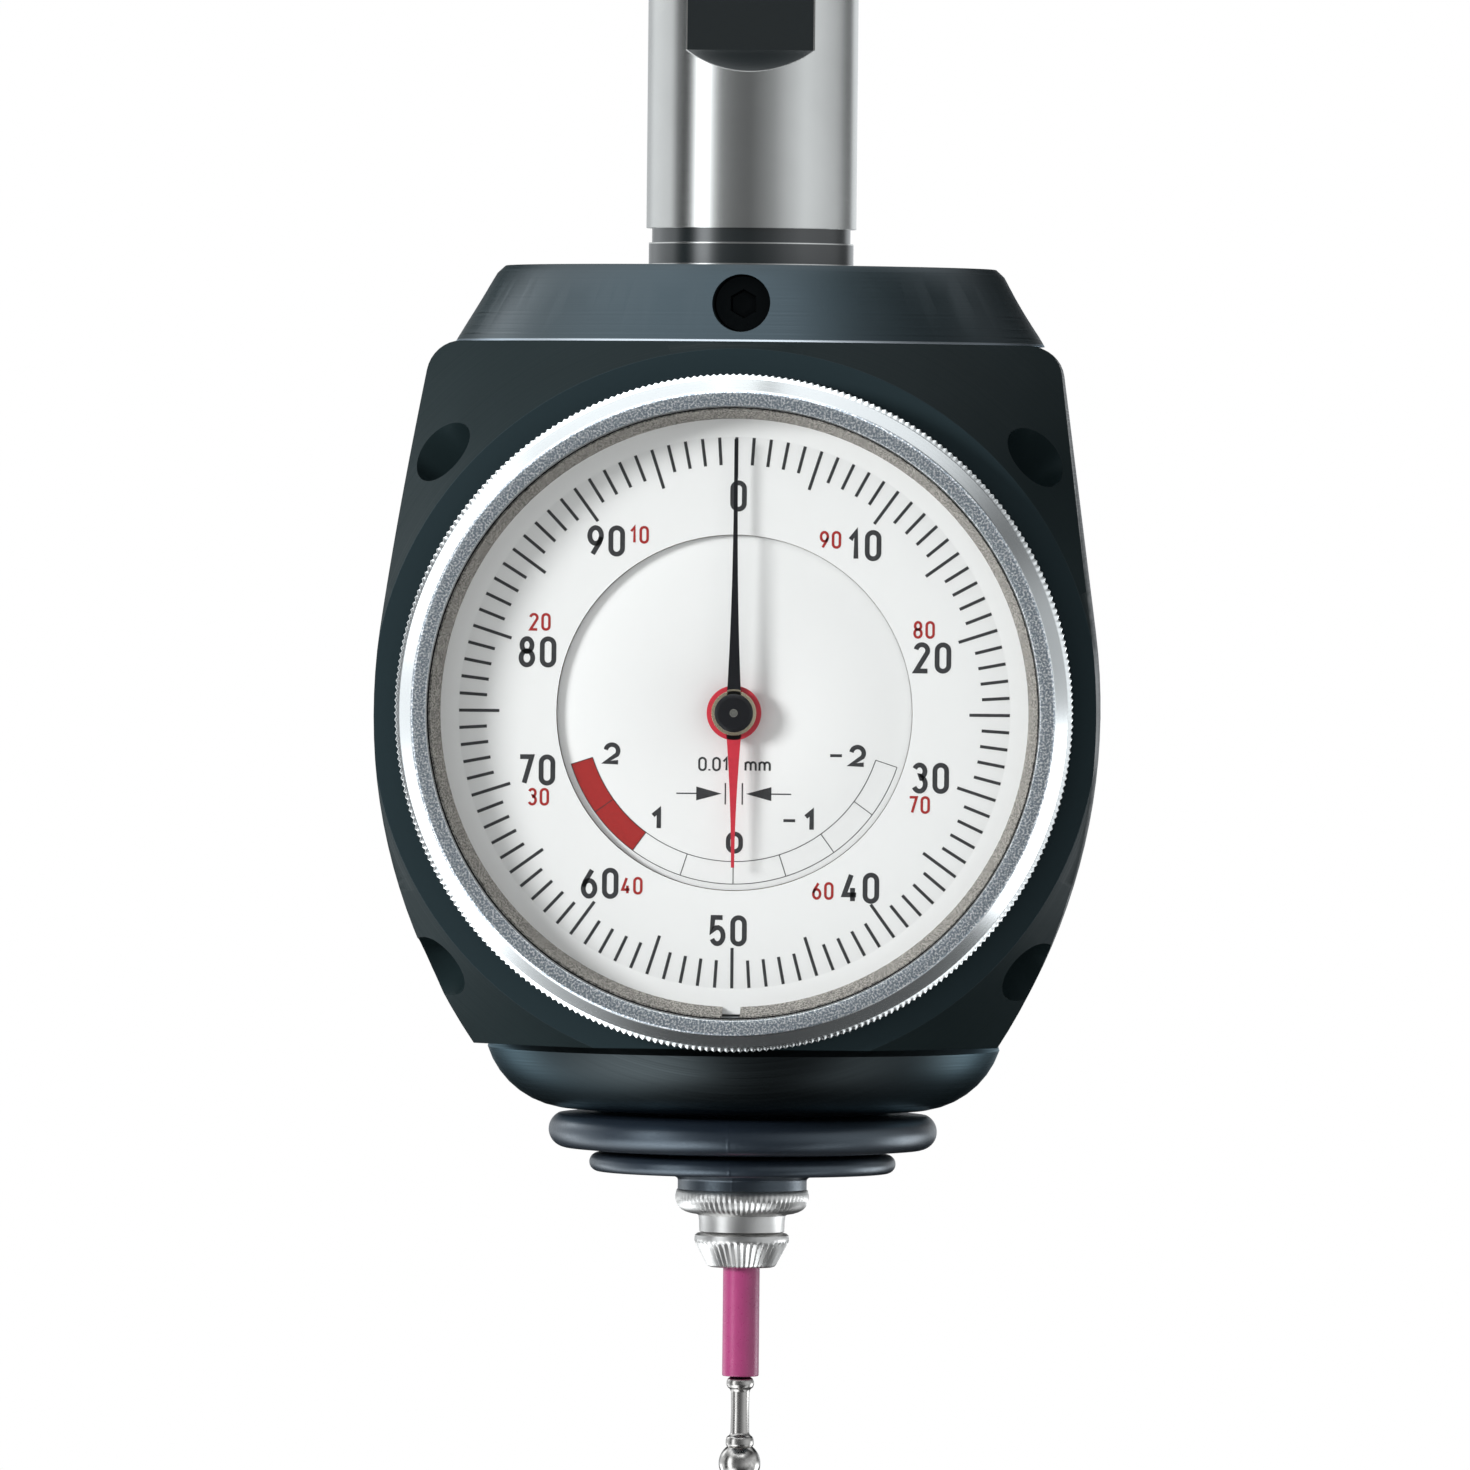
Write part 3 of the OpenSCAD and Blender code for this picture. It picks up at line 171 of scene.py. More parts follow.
def eased(profile, radius, steps=4):
    """Closed profile with each corner eased.

    A corner C between neighbours becomes the curve (1-t)^2 A + 2t(1-t) C + t^2 B, where A and B lie
    the radius before and after it, or a bit under half of a shorter edge.
    """
    corner = np.asarray(profile, dtype=float)
    back, ahead = np.roll(corner, 1, axis=0) - corner, np.roll(corner, -1, axis=0) - corner
    back_len = np.linalg.norm(back, axis=1, keepdims=True)
    ahead_len = np.linalg.norm(ahead, axis=1, keepdims=True)
    start = corner + back / back_len * np.minimum(radius, 0.45 * back_len)
    stop = corner + ahead / ahead_len * np.minimum(radius, 0.45 * ahead_len)
    t = np.linspace(0, 1, steps + 1)[None, :, None]
    curve = (1 - t) ** 2 * start[:, None] + 2 * t * (1 - t) * corner[:, None] + t ** 2 * stop[:, None]
    return curve.reshape(-1, 2)


def turned(profile, count, dial=False, relief=None):
    """Skin of a turned solid.

    A profile point (r, h) goes round as (r cos a, r sin a, h), about the spindle or the dial's axis.
    relief, where given, is how far each point sinks towards the axis, as a function of r, h and a.
    """
    profile = np.asarray(profile, dtype=float)
    angle = np.linspace(0, TURN, count, endpoint=False)[None, :]
    radius = profile[:, :1] * np.ones_like(angle)
    height = profile[:, 1:] * np.ones_like(angle)
    if relief is not None:
        radius = radius - relief(radius, height, angle)
    points = np.stack([radius * np.cos(angle), radius * np.sin(angle), height], axis=-1)
    return skin(on_dial(points) if dial else points)


def bar(path, width, low, high, closed=False):
    """Flat bar on the dial along a path of (across, up) points, between two depths.

    Each point moves half the width either way along the mean of its two neighbouring normals, divided
    by the cosine between that mean and either normal, so that the bar keeps its width round a corner.
    The cosine is held at 0.45, so that a sharp corner doesn't run out into a spike.
    """
    path = np.asarray(path, dtype=float)
    step = np.roll(path, -1, axis=0) - path
    if not closed:
        step[-1] = step[-2]
    step = step / np.linalg.norm(step, axis=1, keepdims=True)
    before = np.roll(step, 1, axis=0)
    if not closed:
        before[0] = step[0]
    normal = np.stack([-step[:, 1], step[:, 0]], axis=-1)
    mean = normal + np.stack([-before[:, 1], before[:, 0]], axis=-1)
    mean = mean / np.linalg.norm(mean, axis=1, keepdims=True)
    cosine = np.maximum(np.sum(mean * normal, axis=1), 0.45)
    side = mean * (np.asarray(width) / 2 / cosine)[:, None]
    corners = np.stack([path + side, path - side, path - side, path + side], axis=1)
    depth = np.broadcast_to([high, high, low, low], corners.shape[:2])[..., None]
    points, faces = skin(on_dial(np.concatenate([corners, depth], axis=-1)), rows_closed=closed)
    if closed:
        return points, faces
    last = len(points) - 4
    return points, np.vstack([faces, [[0, 1, 2, 3], [last + 3, last + 2, last + 1, last]]])


def ribs(count, depth, low, high, run):
    """Relief of straight ribs: depth times a triangle wave of the angle, faded in and out over a run."""
    def relief(radius, height, turn):
        """How far a point sinks; points near the axis stay."""
        wave = 2 * np.abs((turn * count / TURN) % 1 - 0.5)
        rise = np.clip((height - low) / run + 0.5, 0, 1) * np.clip((high - height) / run + 0.5, 0, 1)
        return depth * wave * rise * (radius > 2.5 * MM)
    return relief


def stations(profile, top):
    """Profile points given as radius and drop below a height, both in millimetres, turned into metres."""
    profile = np.array(profile, dtype=float)
    return np.stack([profile[:, 0] * MM, top - profile[:, 1] * MM], axis=-1)


def shown(name, mesh, material, node, ride, stands, smooth):
    """Object of a mesh that rides on the node's body and stands for the node, where ride and stands are set.
    """
    mesh.shade_smooth()
    mesh.set_sharp_from_angle(angle=math.radians(smooth))
    made = bpy.data.objects.new(name, mesh)
    bpy.context.scene.collection.objects.link(made)
    made.data.materials.append(material)
    if ride:
        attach(made, frame["nodes"][node]["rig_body"])
    if stands:
        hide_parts(node)
    return made


def piece(name, skins, material, node, stands=True, ride=True, smooth=SMOOTH):
    """Object from skins: doubles merged, faces turned outwards, and smooth below an angle in degrees."""
    points, faces = joined(skins)
    mesh = bpy.data.meshes.new(name)
    mesh.from_pydata(points.tolist(), [], faces.tolist())
    shape = bmesh.new()
    shape.from_mesh(mesh)
    bmesh.ops.remove_doubles(shape, verts=shape.verts, dist=MERGE)
    bmesh.ops.recalc_face_normals(shape, faces=shape.faces)
    shape.to_mesh(mesh)
    shape.free()
    return shown(name, mesh, material, node, ride, stands, smooth)


def dressed(node, name, material, edge=0.0, ride=True):
    """Smooth copy of a CAD node's surface that stands for it.

    The node's loose triangles are joined at equal corners. With an edge width its flat facets are
    joined too, and a bevel of that width rounds the sharp edges.
    """
    source = frame["nodes"][node].data
    points = np.empty(len(source.vertices) * 3, dtype=np.float32)
    source.vertices.foreach_get("co", points)
    corners = np.empty(len(source.loops), dtype=np.int32)
    source.loops.foreach_get("vertex_index", corners)
    keys, index = np.unique(np.round(points.reshape(-1, 3) / (CAD_STEP * MM)), axis=0, return_inverse=True)
    faces = index.reshape(-1)[corners].reshape(-1, 3)
    whole = (faces[:, 0] != faces[:, 1]) & (faces[:, 1] != faces[:, 2]) & (faces[:, 2] != faces[:, 0])
    mesh = bpy.data.meshes.new(name)
    mesh.from_pydata((keys * CAD_STEP * MM).tolist(), [], faces[whole].tolist())
    if edge:
        shape = bmesh.new()
        shape.from_mesh(mesh)
        bmesh.ops.dissolve_limit(shape, angle_limit=math.radians(FLAT_ANGLE), verts=shape.verts,
                                 edges=shape.edges)
        shape.to_mesh(mesh)
        shape.free()
    made = shown(name, mesh, material, node, ride, True, SMOOTH)
    if edge:
        bevel = made.modifiers.new("rounded edges", "BEVEL")
        bevel.width = edge
        bevel.segments = 2
        bevel.limit_method = "ANGLE"
        bevel.angle_limit = math.radians(SMOOTH)
        bevel.harden_normals = True
    return made


# Shader nodes

def put(tree, kind, inputs=None, **settings):
    """Add one shader node; an input given as a socket is linked, and any other is set."""
    made = tree.nodes.new("ShaderNode" + kind)
    for key, value in settings.items():
        setattr(made, key, value)
    for key, value in (inputs or {}).items():
        if isinstance(value, bpy.types.NodeSocket):
            tree.links.new(value, made.inputs[key])
        else:
            made.inputs[key].default_value = value
    return made


def blank(name):
    """New material with no nodes; returns the material and its node tree."""
    made = bpy.data.materials.new(name)
    made.use_nodes = True
    made.node_tree.nodes.clear()
    return made, made.node_tree


def finish(name, colour, roughness, metallic=0.0, specular=0.5):
    """New material with one Principled shader; returns the material, its node tree and the shader."""
    made, tree = blank(name)
    shader = put(tree, "BsdfPrincipled", {
        "Base Color": (*colour, 1.0), "Roughness": roughness, "Metallic": metallic,
        "Specular IOR Level": specular,
    })
    put(tree, "OutputMaterial", {"Surface": shader.outputs[0]})
    made.diffuse_color = (*colour, 1.0)
    return made, tree, shader


def place(tree):
    """Object coordinates in metres."""
    return put(tree, "TexCoord").outputs["Object"]


def reckoned(tree, operation, one, other, **settings):
    """Result of a sum on two numbers."""
    return put(tree, "Math", {0: one, 1: other}, operation=operation, **settings).outputs[0]


def moved(tree, operation, vector, other=None):
    """Result of a sum on one or two vectors."""
    inputs = {0: vector} if other is None else {0: vector, 1: other}
    return put(tree, "VectorMath", inputs, operation=operation).outputs


def height_up(tree):
    """Z of the object coordinates."""
    return put(tree, "SeparateXYZ", {0: place(tree)}).outputs["Z"]


def depth_out(tree):
    """Depth towards the viewer: minus Y of the object coordinates."""
    return reckoned(tree, "MULTIPLY", put(tree, "SeparateXYZ", {0: place(tree)}).outputs["Y"], -1.0)


def from_spindle(tree):
    """Distance from the spindle axis: the length of X and Y."""
    return moved(tree, "LENGTH", moved(tree, "MULTIPLY", place(tree), (1, 1, 0))[0])["Value"]


def from_dial(tree):
    """Distance from the dial's axis: the length of X and Z counted from the dial's centre."""
    centred = moved(tree, "SUBTRACT", place(tree), (0, 0, DIAL_Z))[0]
    return moved(tree, "LENGTH", moved(tree, "MULTIPLY", centred, (1, 0, 1))[0])["Value"]


def grain(tree, per_mm, detail):
    """Noise with this many spots to a millimetre."""
    return put(tree, "TexNoise", {"Vector": place(tree), "Scale": per_mm / MM, "Detail": detail}).outputs[0]


def lines(tree, along, per_mm, detail=2.0):
    """Noise that changes only along one distance, as the marks of a turning tool do."""
    return put(tree, "TexNoise", {"W": along, "Scale": per_mm / MM, "Detail": detail},
               noise_dimensions="1D").outputs[0]


def between(tree, value, low, high, out_low=0.0, out_high=1.0):
    """Value mapped from one range to another and held at its ends."""
    return put(tree, "MapRange", {0: value, 1: low, 2: high, 3: out_low, 4: out_high}).outputs[0]


def both(tree, one, other):
    """Product of two masks."""
    return reckoned(tree, "MULTIPLY", one, other)


def either(tree, one, other):
    """Larger of two masks."""
    return reckoned(tree, "MAXIMUM", one, other)


def band(tree, value, low, high, soft=0.02 * MM):
    """Mask that is 1 where a value lies between two limits."""
    rising = between(tree, value, low - soft, low + soft)
    falling = between(tree, value, high - soft, high + soft, 1.0, 0.0)
    return both(tree, rising, falling)


def blended(tree, mask, base, top):
    """Number that turns from base to top as the mask goes from 0 to 1."""
    return put(tree, "Mix", {0: mask, 2: base, 3: top}, data_type="FLOAT").outputs[0]


def mixed(tree, mask, base, top):
    """Colour that turns from base to top as the mask goes from 0 to 1."""
    base, top = (end if isinstance(end, bpy.types.NodeSocket) else (*end, 1.0) for end in (base, top))
    return put(tree, "Mix", {0: mask, 6: base, 7: top}, data_type="RGBA").outputs[2]


def mottled(tree, mask, tone, dark, light):
    """Colour that turns from dark times a tone to light times it as the mask goes from 0 to 1."""
    return mixed(tree, mask, tuple(c * dark for c in tone), tuple(c * light for c in tone))


def marks(tree, shader, height, depth):
    """Bump on a shader from a height map that is this deep."""
    made = put(tree, "Bump", {"Height": height, "Distance": depth})
    tree.links.new(made.outputs[0], shader.inputs["Normal"])


def feed(tree, shader, **sockets):
    """Link sockets to the shader's inputs, named in lower case with underscores."""
    names = {"colour": "Base Color", "roughness": "Roughness", "metallic": "Metallic"}
    for key, value in sockets.items():
        tree.links.new(value, shader.inputs[names[key]])


# Sizes and colours that a user would change

def length(name, description, default_mm, lowest=0.0):
    """Length property in metres."""
    return bpy.props.FloatProperty(name=name, description=description, default=default_mm * MM,
                                   min=lowest, precision=5, unit="LENGTH", subtype="DISTANCE")


def colour(name, description, default):
    """Colour property."""
    return bpy.props.FloatVectorProperty(name=name, description=description, default=default,
                                         size=3, min=0.0, max=1.0, subtype="COLOR")


def number(name, description, default, unit="NONE"):
    """Property for a plain number, a power or a focal length."""
    return bpy.props.FloatProperty(name=name, description=description, default=default, min=0.0, unit=unit)


def count(name, description, default, most):
    """Property for a number of teeth or ribs."""
    return bpy.props.IntProperty(name=name, description=description, default=default, min=8, max=most)


def angle(name, description, default_deg):
    """Angle property."""
    return bpy.props.FloatProperty(name=name, description=description, default=math.radians(default_deg),
                                   subtype="ANGLE")


class EdgeFinderStage(bpy.types.PropertyGroup):
    """Camera, lamps and floor"""
    distance: length("Camera distance", "From the camera to the point it looks at", 1524)
    lens: number("Lens", "Focal length on a 36 mm sensor", 391.8, "CAMERA")
    azimuth: angle("Azimuth", "How far the camera stands to the right of the dial's axis", 2.0)
    elevation: angle("Elevation", "How far the camera looks down", 0.91)
    roll: angle("Roll", "How far the object leans to the right in the picture", 0.55)
    look_z: length("Look height", "Height that the camera looks at", -48.2, -1.0)
    look_left: length("Look left", "How far left of the spindle the camera looks", 1.1)
    ambient: number("Ambient", "Strength of the world on diffuse surfaces", 0.5)
    key_power: number("Key lamp", "Power of the lamp on the left", 8.4, "POWER")
    fill_power: number("Fill lamp", "Power of the lamp on the right", 0.6, "POWER")
    floor_drop: length("Floor drop", "How far the floor lies below the ball", 180)
    floor_radius: length("Floor radius", "Radius of the floor", 600)
    floor_colour: colour("Floor", "Colour of the floor", (0.82, 0.82, 0.81))


class EdgeFinderBody(bpy.types.PropertyGroup):
    """Shank, cap, body and screws"""
    steel: colour("Shank steel", "Colour of the ground steel", (0.60, 0.60, 0.585))
    flat: colour("Clamping flat", "Colour of the flat, the groove and the neck", (0.006, 0.0095, 0.0105))
    coat: colour("Body coat", "Colour of the body's dark coat", (0.0085, 0.015, 0.0165))
    coat_shine: colour("Coat shine", "Tint of the coat's reflection", (0.72, 0.90, 1.0))
    cap_shine: colour("Cap shine", "Tint of the cap's reflection", (0.66, 0.85, 1.0))
    coat_roughness: number("Coat roughness", "Roughness of the body's coat", 0.36)
    nose: colour("Nose coat", "Colour of the satin nose under the body", (0.030, 0.036, 0.038))
    nose_height: length("Nose height", "Height of the turned nose under the body", 6.75)
    face: colour("Face coat", "Colour of the body's flat face round the bezel", (0.019, 0.031, 0.036))
    # Near-black of the black screws: partly their black oxide, partly painted shade standing in for the dark
    # deep in the centring screws' holes.
    black_screw_and_shade: colour("Black screws", "Colour of the cap's and the centring screws", (0.022, 0.026, 0.028))
    bright_screw: colour("Bright screws", "Colour of the dial case's screws", (0.55, 0.56, 0.56))
    # Bare-metal colour of the cap foot's rim: partly edge wear, partly a painted highlight that gives the
    # bright line along the cap's foot.
    rim_wear_and_highlight: colour("Worn rim", "Colour of the bright rim at the cap's foot", (0.34, 0.37, 0.40))
    edge: length("Broken edges", "Width of the broken edges on cap and body", 0.22)


class EdgeFinderBezel(bpy.types.PropertyGroup):
    """Bezel, glass and rings"""
    teeth: count("Knurl teeth", "Teeth round the bezel's edge", 324, 720)
    tooth_depth: length("Tooth depth", "Depth of the straight knurl", 0.2)
    knurl_back: length("Knurl back", "Depth of the knurl's rear edge", 33.3)
    knurl_front: length("Knurl front", "Depth of the knurl's front edge", 35.9)
    land_outer: length("Land outside", "Outer radius of the flat front", 29.95)
    land_inner: length("Land inside", "Inner radius of the flat front", 28.45)
    metal: colour("Bezel metal", "Colour of the polished metal", (0.84, 0.86, 0.86))
    land: colour("Blasted land", "Colour of the flat front's dark grains", (0.33, 0.38, 0.43))
    land_light: colour("Land grains", "Colour of the flat front's bright grains", (1.0, 1.0, 1.0))
    knurl: colour("Knurl", "Colour of the knurled edge", (0.45, 0.46, 0.45))
    # The inside edge's dark colour is painted shade: it stands in for the shade on the bezel's inner wall
    # round the glass.
    lip: colour("Inside edge", "Colour of the bezel's edge round the glass", (0.10, 0.105, 0.105))
    ring: colour("Glass ring", "Colour of the split ring under the glass", (0.25, 0.235, 0.215))


class EdgeFinderDial(bpy.types.PropertyGroup):
    """Dial, print and hands"""
    plate: colour("Dial plate", "Colour of the dial's enamel", (0.86, 0.86, 0.855))
    rim: colour("Dial rim", "Colour of the dial outside its ticks", (0.93, 0.93, 0.925))
    plate_drop: length("Plate drop", "How far the fixed plate's face lies behind its node's front", 0.25)
    plate_radius: length("Fixed plate", "Radius of the plate that stays with the body", 16.56)
    black: colour("Black print", "Colour of the black print", (0.03, 0.03, 0.032))
    red: colour("Red print", "Colour of the red print", (0.36, 0.012, 0.010))
    print_height: length("Print height", "Thickness of the print", 0.02)
    tick_outer: length("Ticks outside", "Outer radius of the ticks", 25.67)
    tick_short: length("Short ticks inside", "Inner radius of the short ticks", 23.1)
    tick_long: length("Long ticks inside", "Inner radius of every fifth tick", 21.9)
    tick_width: length("Tick width", "Width of a tick", 0.29)
    figure_height: length("Figures", "Height of the black figures", 2.9)
    red_height: length("Red figures", "Height of the red figures", 1.66)
    coarse_height: length("Coarse figures", "Height of the figures of the coarse scale", 2.06)
    band_outer: length("Coarse band outside", "Outer radius of the coarse scale", 15.97)
    band_inner: length("Coarse band inside", "Inner radius of the coarse scale", 13.87)
    hand_black: colour("Black hand", "Colour of the long hand", (0.006, 0.006, 0.008))
    hand_red: colour("Red hand", "Colour of the short hand", (0.55, 0.03, 0.05))
    brass: colour("Hub rim", "Colour of the metal ring round the hub", (0.9, 0.78, 0.55))
    pin: colour("Pin", "Colour of the pin in the hub's middle", (0.6, 0.58, 0.52))


class EdgeFinderProbe(bpy.types.PropertyGroup):
    """Boot, nut and stylus"""
    boot_wall: length("Boot wall", "Thickness of the rubber", 0.9)
    big_fold: length("Large fold", "Radius of the boot's large fold", 18.5)
    small_fold: length("Small fold", "Radius of the boot's small fold", 14.6)
    waist: length("Waist", "Radius between the folds", 12.8)
    rubber: colour("Rubber", "Colour of the boot", (0.007, 0.011, 0.018))
    nut: colour("Nut steel", "Colour of the knurled collar and the nut", (0.6, 0.59, 0.575))
    collar_rise: length("Collar rise", "How far the collar's rim reaches up over the boot's end", 0.95)
    collar_ribs: count("Collar ribs", "Ribs of the collar", 72, 200)
    collar_rib_depth: length("Collar rib depth", "Depth of the collar's ribs", 0.18)
    nut_ribs: count("Nut ribs", "Ribs of the nut", 44, 200)
    nut_rib_depth: length("Nut rib depth", "Depth of the nut's ribs", 0.21)
    sleeve: colour("Breaking sleeve", "Colour of the sleeve over the stylus", (0.335, 0.043, 0.155))
    stylus: colour("Stylus steel", "Colour of the stylus", (0.46, 0.44, 0.42))


GROUPS = {
    "ef_stage": EdgeFinderStage, "ef_body": EdgeFinderBody, "ef_bezel": EdgeFinderBezel,
    "ef_dial": EdgeFinderDial, "ef_probe": EdgeFinderProbe,
}


# Materials

def shank_steel(sizes):
    """Ground steel with fine marks round the shank; black on the milled flat, the groove and the neck."""
    made, tree, shader = finish("shank_steel", sizes.steel, 0.2, 1.0, 1.0)
    radius, height = from_spindle(tree), height_up(tree)
    flat_foot, flat_top = 12 * MM, low_high("shank")[1][2] - 3 * MM
    neck_foot = low_high("top_cap")[1][2]
    on_flat = both(tree, between(tree, radius, SHANK_RADIUS - 0.10 * MM, SHANK_RADIUS - 0.04 * MM, 1.0, 0.0),
                   band(tree, height, flat_foot, flat_top))
    groove_low, groove_high = -1.52 * MM, -1.40 * MM
    rims = either(tree, band(tree, height, groove_low, groove_high),
                  band(tree, height, neck_foot, neck_foot + 0.3 * MM))
    below = between(tree, height, -0.06 * MM, -0.02 * MM, 1.0, 0.0)
    dark = either(tree, on_flat, reckoned(tree, "SUBTRACT", below, rims, use_clamp=True))
    ground = lines(tree, height, 14)
    steel = mottled(tree, grain(tree, 0.12, 3), sizes.steel, 0.86, 1.0)
    feed(tree, shader, colour=mixed(tree, dark, steel, sizes.flat),
         metallic=reckoned(tree, "SUBTRACT", 1.0, dark),
         roughness=blended(tree, dark, between(tree, ground, 0.3, 0.7, 0.14, 0.24), 0.18))
    marks(tree, shader, ground, 0.0006 * MM)
    return made


def body_coat(sizes):
    """Dark satin coat over turned metal, paler on the flat face and metallic on the satin nose.

    The marks run round the dial's axis on the flank and round the spindle elsewhere.
    """
    made, tree, shader = finish("body_coat", sizes.coat, sizes.coat_roughness, 0.0, 0.04)
    shader.inputs["Specular Tint"].default_value = (*sizes.coat_shine, 1.0)
    depth, height = depth_out(tree), height_up(tree)
    on_flank = between(tree, depth, 14 * MM, 18 * MM)
    turning = blended(tree, on_flank, lines(tree, height, 6.5, 3), lines(tree, from_dial(tree), 5.5, 3))
    face = depth_of("body_housing")[1]
    on_face = between(tree, depth, face - 0.1 * MM, face - 0.05 * MM)
    nose_top = low_high("body_housing")[0][2] + sizes.nose_height
    on_nose = between(tree, height, nose_top - 0.1 * MM, nose_top, 1.0, 0.0)
    coat = mixed(tree, on_face, mottled(tree, grain(tree, 0.09, 3), sizes.coat, 0.8, 1.25), sizes.face)
    feed(tree, shader, colour=mixed(tree, on_nose, coat, sizes.nose), metallic=on_nose,
         roughness=between(tree, turning, 0.25, 0.75, sizes.coat_roughness - 0.06,
                           sizes.coat_roughness + 0.08))
    marks(tree, shader, turning, 0.003 * MM)
    return made


def cap_coat(sizes):
    """The dark coat with the cap's finer turning lines, and a bare-metal rim at its foot: partly edge wear,
    partly a painted highlight along that edge.
    """
    made, tree, shader = finish("cap_coat", sizes.coat, sizes.coat_roughness, 0.0, 0.55)
    shader.inputs["Specular Tint"].default_value = (*sizes.cap_shine, 1.0)
    height, foot = height_up(tree), low_high("top_cap")[0][2]
    # Rim mask: the worn rim at the cap's foot, whose colour also paints the bright highlight line there.
    rim = band(tree, height, foot - 0.1 * MM, foot + sizes.edge, 0.04 * MM)
    turning = lines(tree, reckoned(tree, "SUBTRACT", from_spindle(tree), height), 3.5, 4)
    coat = mottled(tree, grain(tree, 0.15, 2), sizes.coat, 0.85, 1.3)
    feed(tree, shader, colour=mixed(tree, rim, coat, sizes.rim_wear_and_highlight), metallic=rim,
         roughness=between(tree, turning, 0.25, 0.75, 0.28, 0.42))
    marks(tree, shader, turning, 0.006 * MM)
    return made


def screw_steel(name, tone):
    """Screw steel, worn a little."""
    made, tree, shader = finish(name, tone, 0.34, 1.0)
    wear = grain(tree, 1.6, 3)
    feed(tree, shader, colour=mottled(tree, wear, tone, 0.6, 1.4),
         roughness=between(tree, wear, 0.3, 0.7, 0.26, 0.44))
    marks(tree, shader, wear, 0.004 * MM)
    return made


def bezel_metal(sizes):
    """Bright bezel: polished slope, blasted front with sparkling grains, satin knurl, and an inside edge
    darkened with painted shade.
    """
    made, tree, shader = finish("bezel_metal", sizes.metal, 0.22, 1.0)
    radius, depth = from_dial(tree), depth_out(tree)
    front = depth_of("bezel_ring")[1]
    land = both(tree, between(tree, depth, front - 0.22 * MM, front - 0.1 * MM),
                band(tree, radius, sizes.land_inner + 0.14 * MM, sizes.land_outer, 0.04 * MM))
    # Painted shade: surfaces inside the land's inner radius take the dark lip colour, for the shade on the
    # inner wall.
    inside = between(tree, radius, sizes.land_inner - 0.02 * MM, sizes.land_inner + 0.1 * MM, 1.0, 0.0)
    knurled = between(tree, depth, sizes.knurl_front - 0.1 * MM, sizes.knurl_front, 1.0, 0.0)
    spark = grain(tree, 5.0, 2)
    blasted = mixed(tree, between(tree, spark, 0.45, 0.62), sizes.land, sizes.land_light)
    tone = mixed(tree, land, sizes.metal, blasted)
    tone = mixed(tree, knurled, tone, sizes.knurl)
    tone = mixed(tree, inside, tone, sizes.lip)
    polished = between(tree, lines(tree, radius, 9), 0.3, 0.7, 0.22, 0.25)
    feed(tree, shader, colour=tone,
         roughness=blended(tree, knurled, blended(tree, land, polished, 0.42), 0.32))
    marks(tree, shader, both(tree, spark, land), 0.03 * MM)
    return made


def ring_metal(sizes):
    """Granular dark grey of the split ring under the glass."""
    made, tree, shader = finish("ring_metal", sizes.ring, 0.5, 0.6)
    spots = between(tree, grain(tree, 6.0, 2), 0.4, 0.62)
    feed(tree, shader, colour=mottled(tree, spots, sizes.ring, 0.55, 2.2))
    marks(tree, shader, spots, 0.01 * MM)
    return made


def dial_enamel(sizes):
    """White enamel of the dial, a little paler outside the ticks, with a faint mottle."""
    made, tree, shader = finish("dial_enamel", sizes.plate, 0.42)
    rim = between(tree, from_dial(tree), sizes.tick_outer + 0.01 * MM, sizes.tick_outer + 0.06 * MM)
    plate = mottled(tree, grain(tree, 0.5, 4), sizes.plate, 0.985, 1.0)
    feed(tree, shader, colour=mixed(tree, rim, plate, sizes.rim))
    marks(tree, shader, grain(tree, 9, 2), 0.0008 * MM)
    return made


def print_ink(name, ink):
    """Screen-printed ink, a little uneven in its tone."""
    made, tree, shader = finish(name, ink, 0.5)
    feed(tree, shader, colour=mottled(tree, grain(tree, 3.0, 3), ink, 0.8, 1.2))
    return made


def clear_glass():
    """Flat glass: light goes straight through, and a share F + (1 - F) facing^5 of it is mirrored."""
    made, tree = blank("clear_glass")
    facing = put(tree, "LayerWeight", {"Blend": 0.5}).outputs["Facing"]
    mirror = between(tree, reckoned(tree, "POWER", facing, 5.0), 0.0, 1.0, 0.02, 1.0)
    smudge = between(tree, grain(tree, 0.2, 3), 0.3, 0.7, 0.01, 0.04)
    gloss = put(tree, "BsdfGlossy", {"Color": (1, 1, 1, 1), "Roughness": smudge})
    through = put(tree, "BsdfTransparent", {"Color": (0.985, 0.99, 0.99, 1)})
    mix = put(tree, "MixShader", {0: mirror, 1: through.outputs[0], 2: gloss.outputs[0]})
    put(tree, "OutputMaterial", {"Surface": mix.outputs[0]})
    return made


def hand_enamel(name, paint, hub_low=0.0, hub_high=0.0, rim=(0, 0, 0)):
    """Satin paint of a hand, with a metal ring round its hub between two radii."""
    made, tree, shader = finish(name, paint, 0.34, 0.0, 0.25)
    painted = mottled(tree, grain(tree, 2.0, 2), paint, 0.85, 1.15)
    if hub_high:
        ring = band(tree, from_dial(tree), hub_low, hub_high)
        painted = mixed(tree, ring, painted, rim)
        feed(tree, shader, metallic=ring, roughness=blended(tree, ring, 0.34, 0.25))
    feed(tree, shader, colour=painted)
    return made


